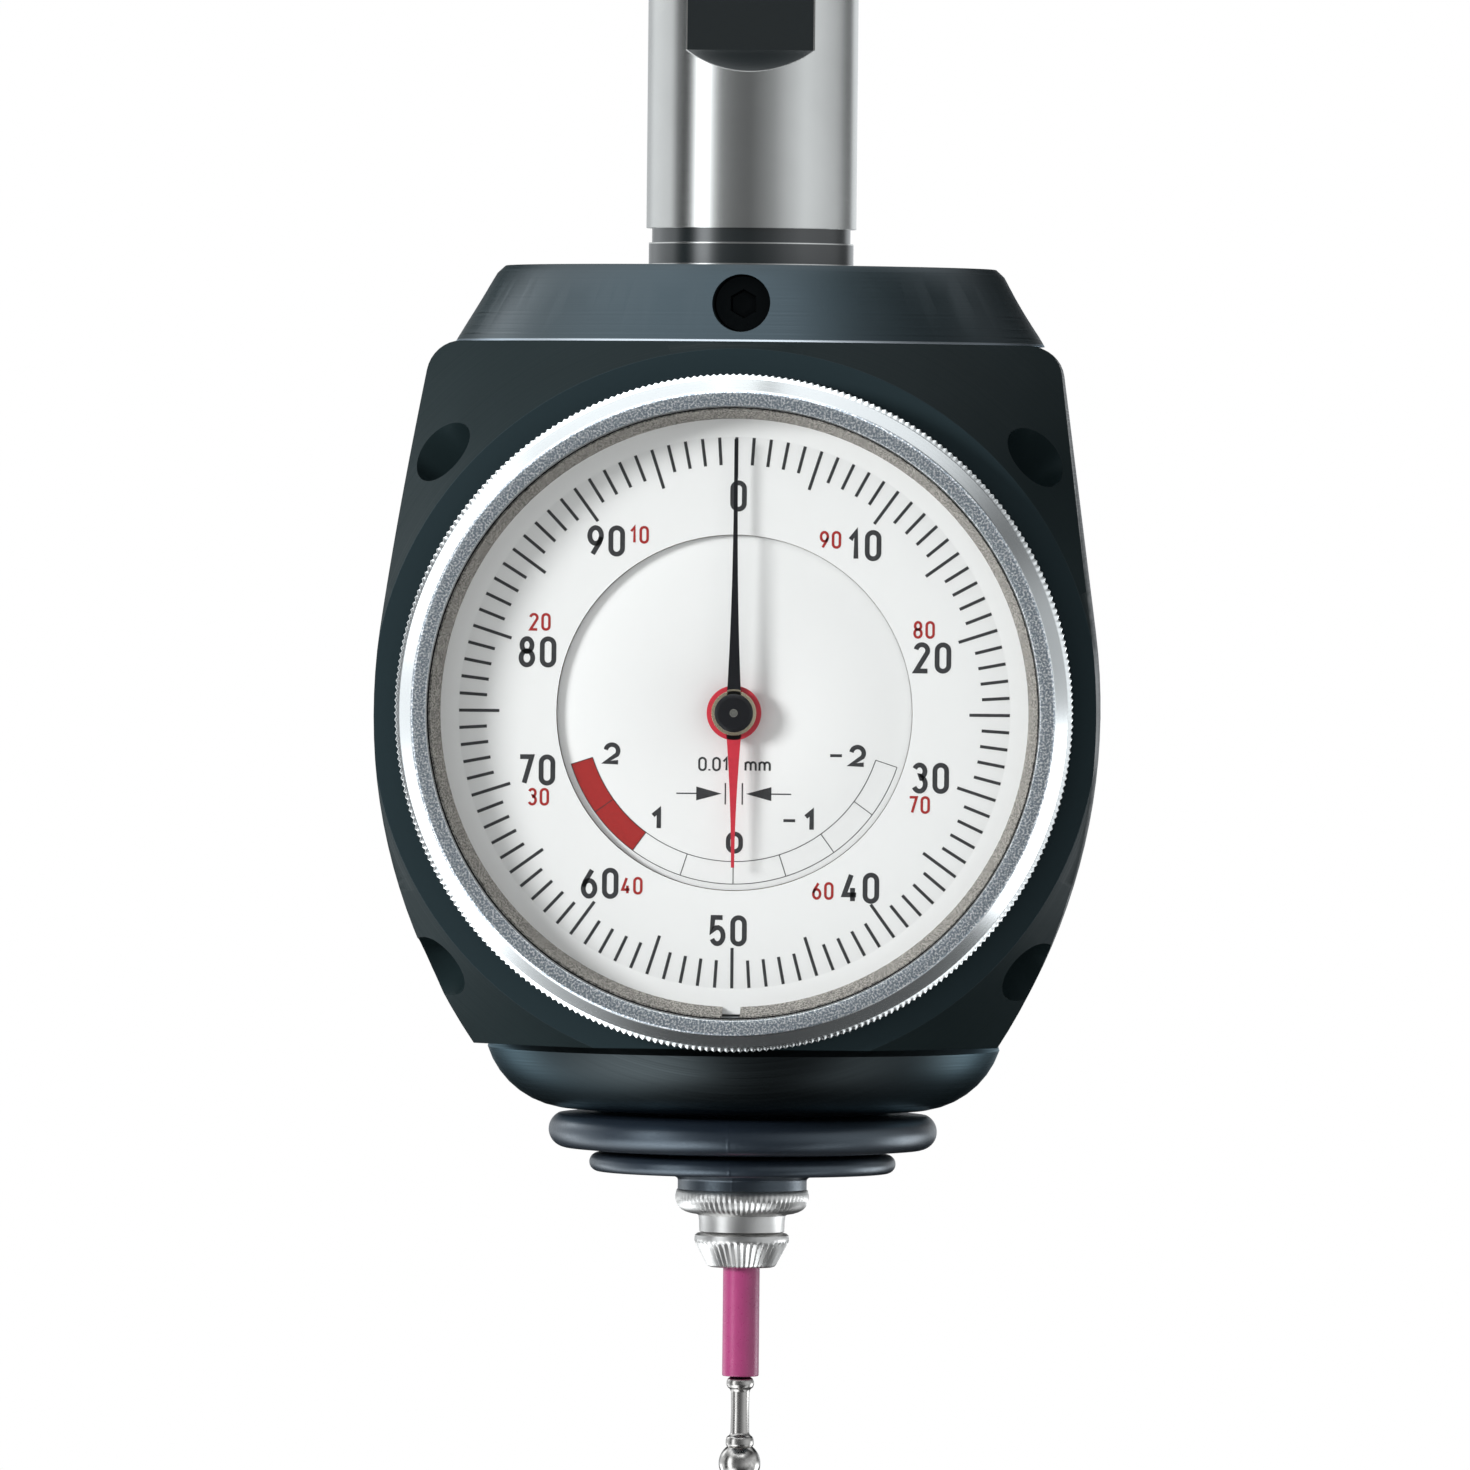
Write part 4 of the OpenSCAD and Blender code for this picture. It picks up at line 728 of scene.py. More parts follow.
def rubber(sizes):
    """Dark moulded rubber with a fine grain and a mould seam down the front."""
    made, tree, shader = finish("rubber", sizes.rubber, 0.36, 0.0, 1.0)
    shader.inputs["Specular Tint"].default_value = (0.74, 0.88, 1.0, 1.0)
    fine = grain(tree, 5.0, 2)
    parts = put(tree, "SeparateXYZ", {0: place(tree)}).outputs
    seam_left, seam_right = -0.87 * MM, -0.63 * MM
    seam = both(tree, band(tree, parts["X"], seam_left, seam_right, 0.08 * MM),
                between(tree, parts["Y"], -1 * MM, 0, 1.0, 0.0))
    feed(tree, shader, colour=mottled(tree, grain(tree, 0.25, 3), sizes.rubber, 0.8, 1.3),
         roughness=between(tree, fine, 0.3, 0.7, 0.30, 0.42))
    height = reckoned(tree, "ADD", both(tree, fine, FINE_SHARE), both(tree, seam, SEAM_SHARE))
    marks(tree, shader, height, 0.04 * MM)
    return made


def turned_metal(name, tone, rough, per_mm=8, dial=False):
    """Plain turned or drawn metal with fine marks across its axis, the spindle's or the dial's."""
    made, tree, shader = finish(name, tone, rough, 1.0)
    turning = lines(tree, depth_out(tree) if dial else height_up(tree), per_mm, 3)
    feed(tree, shader, colour=mottled(tree, grain(tree, 0.4, 3), tone, 0.78, 1.0),
         roughness=between(tree, turning, 0.3, 0.7, rough - 0.05, rough + 0.08))
    marks(tree, shader, turning, 0.002 * MM)
    return made


def ball_metal(sizes):
    """Polished ball with a grey mottle from use."""
    made, tree, shader = finish("ball_metal", sizes.stylus, 0.18, 1.0)
    spots = between(tree, grain(tree, 1.1, 4), 0.35, 0.65)
    feed(tree, shader, colour=mottled(tree, spots, sizes.stylus, 0.55, 1.35),
         roughness=between(tree, spots, 0.0, 1.0, 0.28, 0.14))
    return made


def moulded_plastic(sizes):
    """Glossy coloured plastic of the breaking sleeve."""
    made, tree, shader = finish("sleeve_plastic", sizes.sleeve, 0.3)
    feed(tree, shader, colour=mottled(tree, grain(tree, 0.5, 3), sizes.sleeve, 0.88, 1.08),
         roughness=between(tree, grain(tree, 3, 2), 0.3, 0.7, 0.26, 0.38))
    marks(tree, shader, grain(tree, 1.5, 2), 0.004 * MM)
    return made


# Strokes of the dial's figures

def figure(sign, w, h):
    """Centre lines of one sign in a cell w wide and h high, as (points, closed) pairs."""
    r = w / 2
    six = [(arc((r, 0.3 * h), (r, 0.3 * h), 0, 345, 23), True),
           (np.array([(0.02 * w, 0.36 * h), (0.16 * w, 0.56 * h), (0.74 * w, h)]), False)]
    bows = {
        "0": [(np.vstack([arc((r, h - r), (r, r), 0, 180), arc((r, r), (r, r), 180, 360)]), True)],
        "1": [(np.array([(0.0, 0.72 * h), (0.75 * w, h), (0.75 * w, 0)]), False)],
        "2": [(np.vstack([arc((r, h - r), (r, r), 170, -38), [(0.02 * w, 0), (w, 0)]]), False)],
        "3": [(np.vstack([arc((r, 0.76 * h), (0.92 * r, 0.24 * h), 155, -75),
                          arc((r, 0.275 * h), (r, 0.275 * h), 78, -155)]), False)],
        "4": [(np.array([(0.62 * w, h), (0.02 * w, 0.24 * h), (1.04 * w, 0.24 * h)]), False),
              (np.array([(0.74 * w, 0.5 * h), (0.74 * w, 0)]), False)],
        "5": [(np.vstack([[(0.94 * w, h), (0.12 * w, h), (0.04 * w, 0.5 * h)],
                          arc((r, 0.31 * h), (r, 0.31 * h), 128, -155)]), False)],
        "6": six,
        "7": [(np.array([(0, h), (w, h), (0.36 * w, 0)]), False)],
        "8": [(arc((r, 0.755 * h), (0.86 * r, 0.245 * h), 0, 345, 23), True),
              (arc((r, 0.27 * h), (r, 0.27 * h), 0, 345, 23), True)],
        "9": [((w, h) - points, closed) for points, closed in six],
        "-": [(np.array([(0, 0.5 * h), (w, 0.5 * h)]), False)],
        ".": [(np.array([(0, -0.03 * h), (0, 0.09 * h)]), False)],
        "m": [(np.array([(0, 0), (0, 0.68 * h)]), False),
              (np.vstack([arc((w / 4, 0.68 * h - w / 4), (w / 4, w / 4), 180, 0), [(w / 2, 0)]]), False),
              (np.vstack([arc((3 * w / 4, 0.68 * h - w / 4), (w / 4, w / 4), 180, 0), [(w, 0)]]), False)],
    }
    return bows[sign]


# Width of each sign as a share of a plain figure's width
WIDTH_SHARES = {"1": 0.62, ".": 0.0, "m": 1.5, "-": 0.8}


def lettering(text, centre, height, stroke, low, high, width_share=0.53, gap_share=0.15):
    """Bars of a line of figures round a centre; a plain figure is width_share of its height wide."""
    widths = [(width_share * height - stroke) * WIDTH_SHARES.get(sign, 1.0) for sign in text]
    gap = gap_share * height + stroke
    left = centre[0] - (sum(widths) + gap * (len(text) - 1)) / 2
    base = centre[1] - (height - stroke) / 2
    bars = []
    for sign, width in zip(text, widths):
        for points, closed in figure(sign, width, height - stroke):
            bars.append(bar(points + (left, base), stroke, low, high, closed))
        left += width + gap
    return bars


# Places of the turning scale's figures about the dial's centre, in millimetres
BLACK_FIGURES = {
    "0": (0.2, 20.2), "10": (12.0, 15.7), "20": (18.4, 5.3), "30": (18.3, -5.9), "40": (11.9, -16.2),
    "50": (-0.4, -20.3), "60": (-12.4, -16.0), "70": (-18.4, -5.5), "80": (-18.4, 5.5), "90": (-12.1, 15.9),
}
RED_FIGURES = {
    "90": (8.8, 16.2), "80": (17.6, 7.9), "70": (17.3, -8.4), "60": (8.4, -16.5), "40": (-9.4, -16.2),
    "30": (-18.2, -8.0), "20": (-18.2, 8.3), "10": (-9.0, 16.5),
}
# Strokes of the black and red figures as shares of their height
BLACK_STROKE, RED_STROKE = 0.155, 0.145
# Places of the coarse scale's figures and dashes
COARSE_FIGURES = [("2", (-11.4, -3.9)), ("1", (-7.15, -10.0)), ("0", (0.1, -12.1)),
                  ("1", (7.1, -10.0)), ("2", (11.5, -3.9))]
COARSE_DASHES = [(5.2, -10.0), (9.5, -3.9)]


# The studio's screens: tone by turn from the camera's side, or share by rise, all in degrees
UPRIGHT_SCREENS = [
    (-180, 0.6), (-150, 0.7), (-135, 1.1), (-97, 1.0), (-89, 0.3), (-80, 0.06), (-74, 0.1), (-68, 0.5),
    (-63, 2.2), (-58, 3.4), (-49, 3.4), (-43, 1.2), (-34, 0.36), (-16, 0.22), (0, 0.18), (13, 0.3),
    (26, 0.44), (40, 0.75), (47, 0.85), (62, 1.1), (78, 1.0), (100, 0.78), (112, 0.6), (125, 0.28),
    (138, 0.22), (150, 1.0), (180, 1.0),
]
# Rise at which the upright screens have ended, by turn
UPRIGHT_REACH = [(-180, 10), (-150, 12), (-130, 36), (130, 36), (150, 12), (180, 10)]
# Screens above the object, near the zenith and below it
TOP_SCREENS = [(-180, 1.05), (-128, 1.1), (-114, 2.2), (-80, 2.9), (8, 3.0), (22, 4.2), (42, 1.4), (75, 0.4),
               (95, 0.1), (116, 0.1), (125, 1.05), (180, 1.05)]
TOP_FADE = [(28, 0), (46, 1), (68, 1), (76, 0)]
POLE_FADE = [(66, 0), (76, 2.2), (90, 2.2)]
LOW_SCREENS = [(-180, 0.08), (-150, 0.1), (-132, 0.5), (-118, 1.5), (-100, 2.0), (-75, 4.0), (-38, 4.0),
               (-14, 0.1), (50, 0.08), (62, 1.6), (80, 1.6), (95, 0.1), (112, 0.5), (125, 0.1), (180, 0.08)]
LOW_FADE = [(25, 0), (40, 1), (62, 1), (73, 0.1), (90, 0.1)]
# Screens beside the object: on the left above and below level, on the right only below it
SIDE_SCREENS = [(-142, 0), (-132, 2.0), (-118, 2.0), (-112, 0), (100, 0), (108, 4.0), (130, 4.0), (140, 0)]
SIDE_FADE = [(2, 0), (8, 1), (27, 1), (36, 0)]
LEFT_SHIFT = 5              # how much farther from level the left side's screens stand, in degrees


# Stage

class EDGEFINDER_OT_stage(bpy.types.Operator):
    """Make the camera, the lamps, the pale floor and the screens that steel mirrors"""
    bl_idname = "edge_finder.stage"
    bl_label = "Stage"

    def execute(self, context):
        sizes = context.scene.ef_stage
        self.make_camera(context, sizes)
        self.make_world(context, sizes)
        self.make_floor(context, sizes)
        self.make_lamps(context, sizes)
        self.make_screens(context)
        context.scene.view_settings.view_transform = "Standard"
        return {"FINISHED"}

    def make_camera(self, context, sizes):
        """Camera at the photograph's angle, turned about its own line of sight by the roll."""
        out = Vector((math.sin(sizes.azimuth) * math.cos(sizes.elevation),
                      -math.cos(sizes.azimuth) * math.cos(sizes.elevation), math.sin(sizes.elevation)))
        right = Vector((0, 0, 1)).cross(out).normalized()
        up = out.cross(right)
        target = Vector((0, 0, sizes.look_z)) - right * sizes.look_left
        turned_right = right * math.cos(sizes.roll) + up * math.sin(sizes.roll)
        turned_up = up * math.cos(sizes.roll) - right * math.sin(sizes.roll)
        data = bpy.data.cameras.new("camera")
        data.lens = sizes.lens
        data.sensor_width = 36
        data.sensor_fit = "HORIZONTAL"
        data.clip_end = 20
        camera = bpy.data.objects.new("camera", data)
        axes = Matrix((turned_right, turned_up, out)).transposed().to_4x4()
        camera.matrix_world = Matrix.Translation(target + out * sizes.distance) @ axes
        context.scene.collection.objects.link(camera)
        context.scene.camera = camera

    def make_world(self, context, sizes):
        """White for camera, glossy and transmission rays, and a softer pale light for the rest."""
        world = bpy.data.worlds.new("studio")
        context.scene.world = world
        world.use_nodes = True
        tree = world.node_tree
        tree.nodes.clear()
        path = put(tree, "LightPath")
        seen = either(tree, path.outputs["Is Camera Ray"],
                      either(tree, path.outputs["Is Glossy Ray"], path.outputs["Is Transmission Ray"]))
        white = put(tree, "Background", {"Color": (1, 1, 1, 1), "Strength": 1.0})
        soft = put(tree, "Background", {"Color": (1, 1, 1, 1), "Strength": sizes.ambient})
        mix = put(tree, "MixShader", {0: seen, 1: soft.outputs[0], 2: white.outputs[0]})
        put(tree, "OutputWorld", {"Surface": mix.outputs[0]})

    def make_floor(self, context, sizes):
        """Round floor under the object, pale, with the shadow left on it."""
        rings = np.linspace(0, 1, 9)[:, None]
        turn = np.linspace(0, TURN, 96, endpoint=False)[None, :]
        height = np.full((9, 96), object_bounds()[0][2] - sizes.floor_drop)
        points = np.stack([rings * np.cos(turn) * sizes.floor_radius,
                           rings * np.sin(turn) * sizes.floor_radius, height], axis=-1)
        floor, tree, shader = finish("floor", sizes.floor_colour, 0.9)
        feed(tree, shader, colour=mottled(tree, grain(tree, 0.01, 2), sizes.floor_colour, 0.99, 1.0))
        made = self.stage_object(context, "floor", skin(points, rows_closed=False), floor)
        made.visible_glossy = False
        made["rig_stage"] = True

    def make_screens(self, context):
        """Round tent of pale and dark screens that only mirrors see.

        Its tone at a turn from the camera's side and a rise above level is the tone of the upright
        screens at that turn, faded out from half their reach on, plus the screens above, near the
        zenith, below and beside.
        """
        rows, columns = 61, 145
        turn = np.linspace(-180, 180, columns)[None, :] * np.ones((rows, 1))
        rise = np.linspace(-90, 90, rows)[:, None] * np.ones((1, columns))
        side_rise = np.where(turn < 0, np.abs(rise) - LEFT_SHIFT, -rise)

        def read(value, table):
            """Value looked up in a table, straight between its rows."""
            return np.interp(value, *zip(*table))

        fading = np.interp(np.abs(rise) / read(turn, UPRIGHT_REACH), (0.5, 1), (1, 0))
        tone = read(turn, UPRIGHT_SCREENS) * fading
        tone = tone + read(turn, TOP_SCREENS) * read(rise, TOP_FADE) + read(rise, POLE_FADE)
        tone = tone + read(turn, LOW_SCREENS) * read(-rise, LOW_FADE)
        tone = tone + read(turn, SIDE_SCREENS) * read(side_rise, SIDE_FADE)
        across, up = np.radians(turn), np.radians(rise)
        radius = 1.35
        points = radius * np.stack([np.sin(across) * np.cos(up), -np.cos(across) * np.cos(up), np.sin(up)],
                                   axis=-1)
        points[..., 2] += DIAL_Z
        card, tree = blank("screens")
        share = put(tree, "Attribute", attribute_name="tone").outputs["Fac"]
        light = put(tree, "Emission", {"Color": (0.93, 0.97, 1.0, 1.0), "Strength": share})
        put(tree, "OutputMaterial", {"Surface": light.outputs[0]})
        made = self.stage_object(context, "screens", skin(points, False, False), card)
        values = tone.reshape(-1).astype(np.float32)
        made.data.attributes.new("tone", "FLOAT", "POINT").data.foreach_set("value", values)
        for ray in ("camera", "diffuse", "shadow", "transmission"):
            setattr(made, "visible_" + ray, False)
        made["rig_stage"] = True

    def stage_object(self, context, name, surface, material):
        """Link one stage surface."""
        mesh = bpy.data.meshes.new(name)
        mesh.from_pydata(surface[0].tolist(), [], surface[1].tolist())
        made = bpy.data.objects.new(name, mesh)
        made.data.materials.append(material)
        context.scene.collection.objects.link(made)
        return made

    def make_lamps(self, context, sizes):
        """Key lamp low on the left, so hands throw their shadows right, and a weak fill on the right."""
        lamps = (("key", sizes.key_power, (-0.73, -0.51, 0.20), 0.26),
                 ("fill", sizes.fill_power, (0.75, -0.7, 0.35), 0.5))
        aim = Vector((0, -0.034, DIAL_Z))
        for name, power, offset, size in lamps:
            data = bpy.data.lights.new(name, "AREA")
            data.shape = "DISK"
            data.size = size
            data.energy = power
            lamp = bpy.data.objects.new(name, data)
            lamp.visible_glossy = False
            lamp.location = aim + Vector(offset)
            lamp.rotation_euler = (-Vector(offset)).to_track_quat("-Z", "Y").to_euler()
            context.scene.collection.objects.link(lamp)


# Pieces

class EDGEFINDER_OT_shank(bpy.types.Operator):
    """Make the ground shank with its black flat, groove and polished neck"""
    bl_idname = "edge_finder.shank"
    bl_label = "Shank"

    def execute(self, context):
        dressed("shank", "ground_shank", shank_steel(context.scene.ef_body))
        return {"FINISHED"}


class EDGEFINDER_OT_body(bpy.types.Operator):
    """Make the coated cap and body with broken edges"""
    bl_idname = "edge_finder.body"
    bl_label = "Cap and body"

    def execute(self, context):
        sizes = context.scene.ef_body
        dressed("top_cap", "coated_cap", cap_coat(sizes), sizes.edge)
        dressed("body_housing", "coated_body", body_coat(sizes), sizes.edge)
        return {"FINISHED"}


class EDGEFINDER_OT_screws(bpy.types.Operator):
    """Make the cap's, the centring and the dial screws"""
    bl_idname = "edge_finder.screws"
    bl_label = "Screws"

    def execute(self, context):
        sizes = context.scene.ef_body
        # The black screws' near-black colour is partly painted shade for their deep holes.
        black = screw_steel("black_screw_and_shade", sizes.black_screw_and_shade)
        bright = screw_steel("bright_screw", sizes.bright_screw)
        for node, steel in (("cap_screws", black), ("centring_screws", black), ("dial_screws", bright)):
            dressed(node, "worn_" + node, steel, 0.08 * MM)
        return {"FINISHED"}


class EDGEFINDER_OT_bezel(bpy.types.Operator):
    """Make the knurled bezel, its split ring and the glass"""
    bl_idname = "edge_finder.bezel"
    bl_label = "Bezel and glass"

    def execute(self, context):
        sizes = context.scene.ef_bezel
        self.make_ring(sizes)
        dressed("inner_ring", "split_ring", ring_metal(sizes))
        dressed("dial_glass", "flat_glass", clear_glass())
        return {"FINISHED"}

    def make_ring(self, sizes):
        """Bezel turned from its profile; between the knurl's edges the radius sinks by a triangle wave."""
        outer = radius_of("bezel_ring") + 0.1 * MM
        back, front = depth_of("bezel_ring")
        seal_front = depth_of("glass_seal")[1]
        recess, skirt = radius_of("dial_glass") + 0.05 * MM, radius_of("dial_case") + 0.1 * MM
        flange = depth_of("inner_ring")[1] - 1.4 * MM
        chamfer = 0.15 * MM
        run_out = np.array([(outer - 0.03 * MM, sizes.knurl_front + 0.06 * MM),
                            (outer - 0.24 * MM, sizes.knurl_front + 0.2 * MM),
                            (outer - 0.5 * MM, sizes.knurl_front + 0.36 * MM)])
        run_len = run_out[-1, 1] - sizes.knurl_front
        profile = eased([
            (skirt, back), (outer - chamfer, back), (outer, back + chamfer), (outer, sizes.knurl_front),
            *run_out, (sizes.land_outer + chamfer / 3, front - chamfer), (sizes.land_outer - chamfer, front),
            (sizes.land_inner, front), (sizes.land_inner, seal_front), (recess, seal_front),
            (recess, flange), (skirt, flange),
        ], 0.06 * MM, 2)
        after = int(np.argmax(profile[:, 1] > sizes.knurl_back))
        knurl_rows = [(outer, h) for h in np.linspace(sizes.knurl_back, sizes.knurl_front - chamfer, 3)]
        profile = np.vstack([profile[:after], knurl_rows, profile[after:]])

        def teeth(radius, height, turn):
            """Tooth depth times a triangle wave of the angle, up to the end of the knurl's run-out."""
            wave = 2 * np.abs((turn * sizes.teeth / TURN) % 1 - 0.5)
            share = np.clip(1 - (height - sizes.knurl_front) / run_len, 0, 1) * (height >= sizes.knurl_back)
            return sizes.tooth_depth * wave * np.where(radius > outer - 0.6 * MM, share, 0.0)

        piece("knurled_bezel", [turned(profile, sizes.teeth * 4, dial=True, relief=teeth)],
              bezel_metal(sizes), "bezel_ring")


class EDGEFINDER_OT_dial(bpy.types.Operator):
    """Make the two dial plates and all their print"""
    bl_idname = "edge_finder.dial"
    bl_label = "Dial and print"

    def execute(self, context):
        sizes = context.scene.ef_dial
        enamel = dial_enamel(sizes)
        dressed("turning_scale", "turning_plate", enamel)
        low, high = depth_of("fixed_dial")
        high, edge, hub = high - sizes.plate_drop, sizes.plate_radius, 2 * MM
        plate = eased([(hub, low), (edge, low), (edge, high), (hub, high)], 0.06 * MM, 2)
        piece("fixed_plate", [turned(plate, 180, dial=True)], enamel, "fixed_dial")
        black, red = print_ink("black_ink", sizes.black), print_ink("red_ink", sizes.red)
        self.turning_print(sizes, black, red)
        self.fixed_print(sizes, black, red)
        return {"FINISHED"}

    def turning_print(self, sizes, black, red):
        """Ticks and figures that turn with the bezel."""
        low = depth_of("turning_scale")[1]
        high = low + sizes.print_height
        ticks = []
        for tick in range(100):
            way = np.array([math.sin(tick * TURN / 100), math.cos(tick * TURN / 100)])
            inner = sizes.tick_short if tick % 5 else sizes.tick_long
            ticks.append(bar([inner * way, sizes.tick_outer * way], sizes.tick_width, low, high))
        piece("scale_ticks", ticks, black, "turning_scale", False)
        for name, figures, height, share, ink in (
                ("scale_figures", BLACK_FIGURES, sizes.figure_height, BLACK_STROKE, black),
                ("red_figures", RED_FIGURES, sizes.red_height, RED_STROKE, red)):
            bars = []
            for text, (x, y) in figures.items():
                bars += lettering(text, (x * MM, y * MM), height, share * height, low, high)
            piece(name, bars, ink, "turning_scale", False)

    def fixed_print(self, sizes, black, red):
        """Coarse scale, unit mark and arrows that stay with the body."""
        low = depth_of("fixed_dial")[1] - sizes.plate_drop
        high = low + sizes.print_height
        outer, inner = sizes.band_outer, sizes.band_inner
        fine, arrow, unit, dash, bold = 0.07 * MM, 0.12 * MM, 0.19 * MM, 0.27 * MM, 0.42 * MM
        unit_height, unit_z, arrow_z = 1.33 * MM, -4.8 * MM, -7.55 * MM
        bars = [bar(arc((0, 0), (r, r), -90 - 72, -90 + 72, 72), fine, low, high) for r in (outer, inner)]
        for a in np.radians(np.arange(-72, 73, 18)):
            ends = [(r * math.sin(a), -r * math.cos(a)) for r in (inner, outer)]
            bars.append(bar(ends, fine, low, high + 0.3 * sizes.print_height))
        for text, (x, y) in COARSE_FIGURES:
            bars += lettering(text, (x * MM, y * MM), sizes.coarse_height, bold, low, high, 0.77)
        for x, y in COARSE_DASHES:
            ends = [((x - 0.55) * MM, y * MM), ((x + 0.55) * MM, y * MM)]
            bars.append(bar(ends, dash, low, high))
        for text, x, share in (("0.01", -1.93, 0.6), ("mm", 2.2, 0.62)):
            bars += lettering(text, (x * MM, unit_z), unit_height, unit, low, high, share, 0.12)
        for side in (-MM, MM):
            stem = [(side * 5.35, arrow_z), (side * 3.4, arrow_z)]
            head = [(side * 3.5, arrow_z), (side * 1.16, arrow_z)]
            stop = [(side * 0.79, arrow_z - 1 * MM), (side * 0.79, arrow_z + 1 * MM)]
            bars.append(bar(stem, arrow, low, high))
            bars.append(bar(head, np.array([1.3 * MM, 0.02 * MM]), low, high))
            bars.append(bar(stop, arrow, low, high))
        piece("coarse_scale", bars, black, "fixed_dial", False)
        middle = (outer + inner) / 2
        zone = bar(arc((0, 0), (middle, middle), -90 - 36, -90 - 72, 36), outer - inner - fine,
                   low - 0.2 * sizes.print_height, high - 0.3 * sizes.print_height)
        piece("red_zone", [zone], red, "fixed_dial", False)


class EDGEFINDER_OT_hands(bpy.types.Operator):
    """Make the long black hand, the short red hand and the hub's cap"""
    bl_idname = "edge_finder.hands"
    bl_label = "Hands"

    def execute(self, context):
        sizes = context.scene.ef_dial
        cap_r = radius_of("hand_cap")
        black_hub, red_hub = radius_of("black_hand"), radius_of("red_hand")
        black = hand_enamel("black_hand_paint", sizes.hand_black, cap_r, black_hub + 0.1 * MM, sizes.brass)
        red = hand_enamel("red_hand_paint", sizes.hand_red)
        self.make_hand("long_hand", "black_hand", black, black_hub, 1.5 * MM, 0.34 * MM, 2.6)
        self.make_hand("short_hand", "red_hand", red, red_hub, 1.7 * MM, 0.3 * MM, 1.8)
        self.make_cap(cap_r, sizes)
        return {"FINISHED"}

    def make_hand(self, name, node, paint, hub, wide, narrow, power):
        """Hand whose width falls from wide to narrow as (1 - s) to a power along its length, round a hub."""
        low, high = depth_of(node)
        corner_low, corner_high = low_high(node)
        reach_up, reach_down = corner_high[2] - DIAL_Z, DIAL_Z - corner_low[2]
        way = 1 if reach_up > reach_down else -1
        tip = max(reach_up, reach_down)
        s = np.linspace(0, 1, 25)
        path = np.stack([np.zeros(25), way * s * tip], axis=-1)
        blade = bar(path, narrow + (wide - narrow) * (1 - s) ** power, low, high)
        disc = turned(eased([(0, low), (hub, low), (hub, high), (0, high)], 0.04 * MM, 2), 72, dial=True)
        piece(name, [blade, disc], paint, node)

    def make_cap(self, radius, sizes):
        """Black domed disc with a small bright pin in its middle."""
        low, high = depth_of("hand_cap")
        pin = 0.36 * MM
        paint = hand_enamel("hub_cap_paint", sizes.hand_black, -1.0 * MM, pin, sizes.pin)
        profile = [(0, low), (radius, low), (radius, low + 0.6 * (high - low)), (radius * 0.8, high),
                   (pin, high), (0, high)]
        piece("hub_cap", [turned(eased(profile, 0.08 * MM, 3), 72, dial=True)], paint, "hand_cap")


class EDGEFINDER_OT_boot(bpy.types.Operator):
    """Make the folded rubber boot in three turned lengths"""
    bl_idname = "edge_finder.boot"
    bl_label = "Rubber boot"

    def execute(self, context):
        sizes = context.scene.ef_probe
        paint = rubber(sizes)
        wall, bottom, top = sizes.boot_wall, low_high("rubber_boot")[0][2], low_high("rubber_boot")[1][2]
        mouth, fold_h, small_h, neck_h = low_high("body_housing")[0][2], 4.1 * MM, 2.1 * MM, 2.1 * MM
        neck_z = bottom + neck_h
        waist_z = neck_z + small_h
        root, lip, neck_r, hole = 13.5 * MM, 7.05 * MM, 6.15 * MM, radius_of("probe_holder") + 0.05 * MM

        def fold(radius, height, tall, start, stop, steps):
            """Round of a fold, 0.42 times its height in radius."""
            bend = 0.42 * tall
            return arc((radius - bend, height - tall / 2), (bend, bend), start, stop, steps)

        waist_in, big, small = sizes.waist - wall, sizes.big_fold, sizes.small_fold
        upper = np.vstack([
            [(root, top), (root, mouth - 0.02 * MM), (root + wall / 2, mouth - wall / 2)],
            fold(big, mouth, fold_h, 62, -78, 16),
            [(sizes.waist, waist_z), (waist_in, waist_z), (waist_in, waist_z + wall),
             (big - 2 * wall, waist_z + 1.2 * wall), (big - 1.2 * wall, mouth - fold_h / 2),
             (big - 2 * wall, mouth - 1.5 * wall), (root - wall, mouth - wall / 2), (root - wall, top)]])
        middle = np.vstack([
            [(waist_in, waist_z), (sizes.waist, waist_z)], fold(small, waist_z, small_h, 72, -72, 14),
            [(lip, neck_z), (lip - wall, neck_z + wall), (small - 2 * wall, neck_z + wall),
             (small - wall, waist_z - small_h / 2)]])
        lower = eased([(lip, neck_z), (neck_r, neck_z - wall / 2), (neck_r, bottom), (hole, bottom),
                       (hole, neck_z + wall), (lip - wall, neck_z + wall)], 0.2 * MM, 3)
        upper = piece("boot_large_fold", [turned(upper, 144)], paint, "rubber_boot", True, False, 60)
        middle = piece("boot_small_fold", [turned(middle, 144)], paint, "rubber_boot", False, False, 60)
        lower = piece("boot_neck", [turned(lower, 120)], paint, "rubber_boot", False, False, 60)
        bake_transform(upper)
        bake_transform(middle)
        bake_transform(lower)
        return {"FINISHED"}


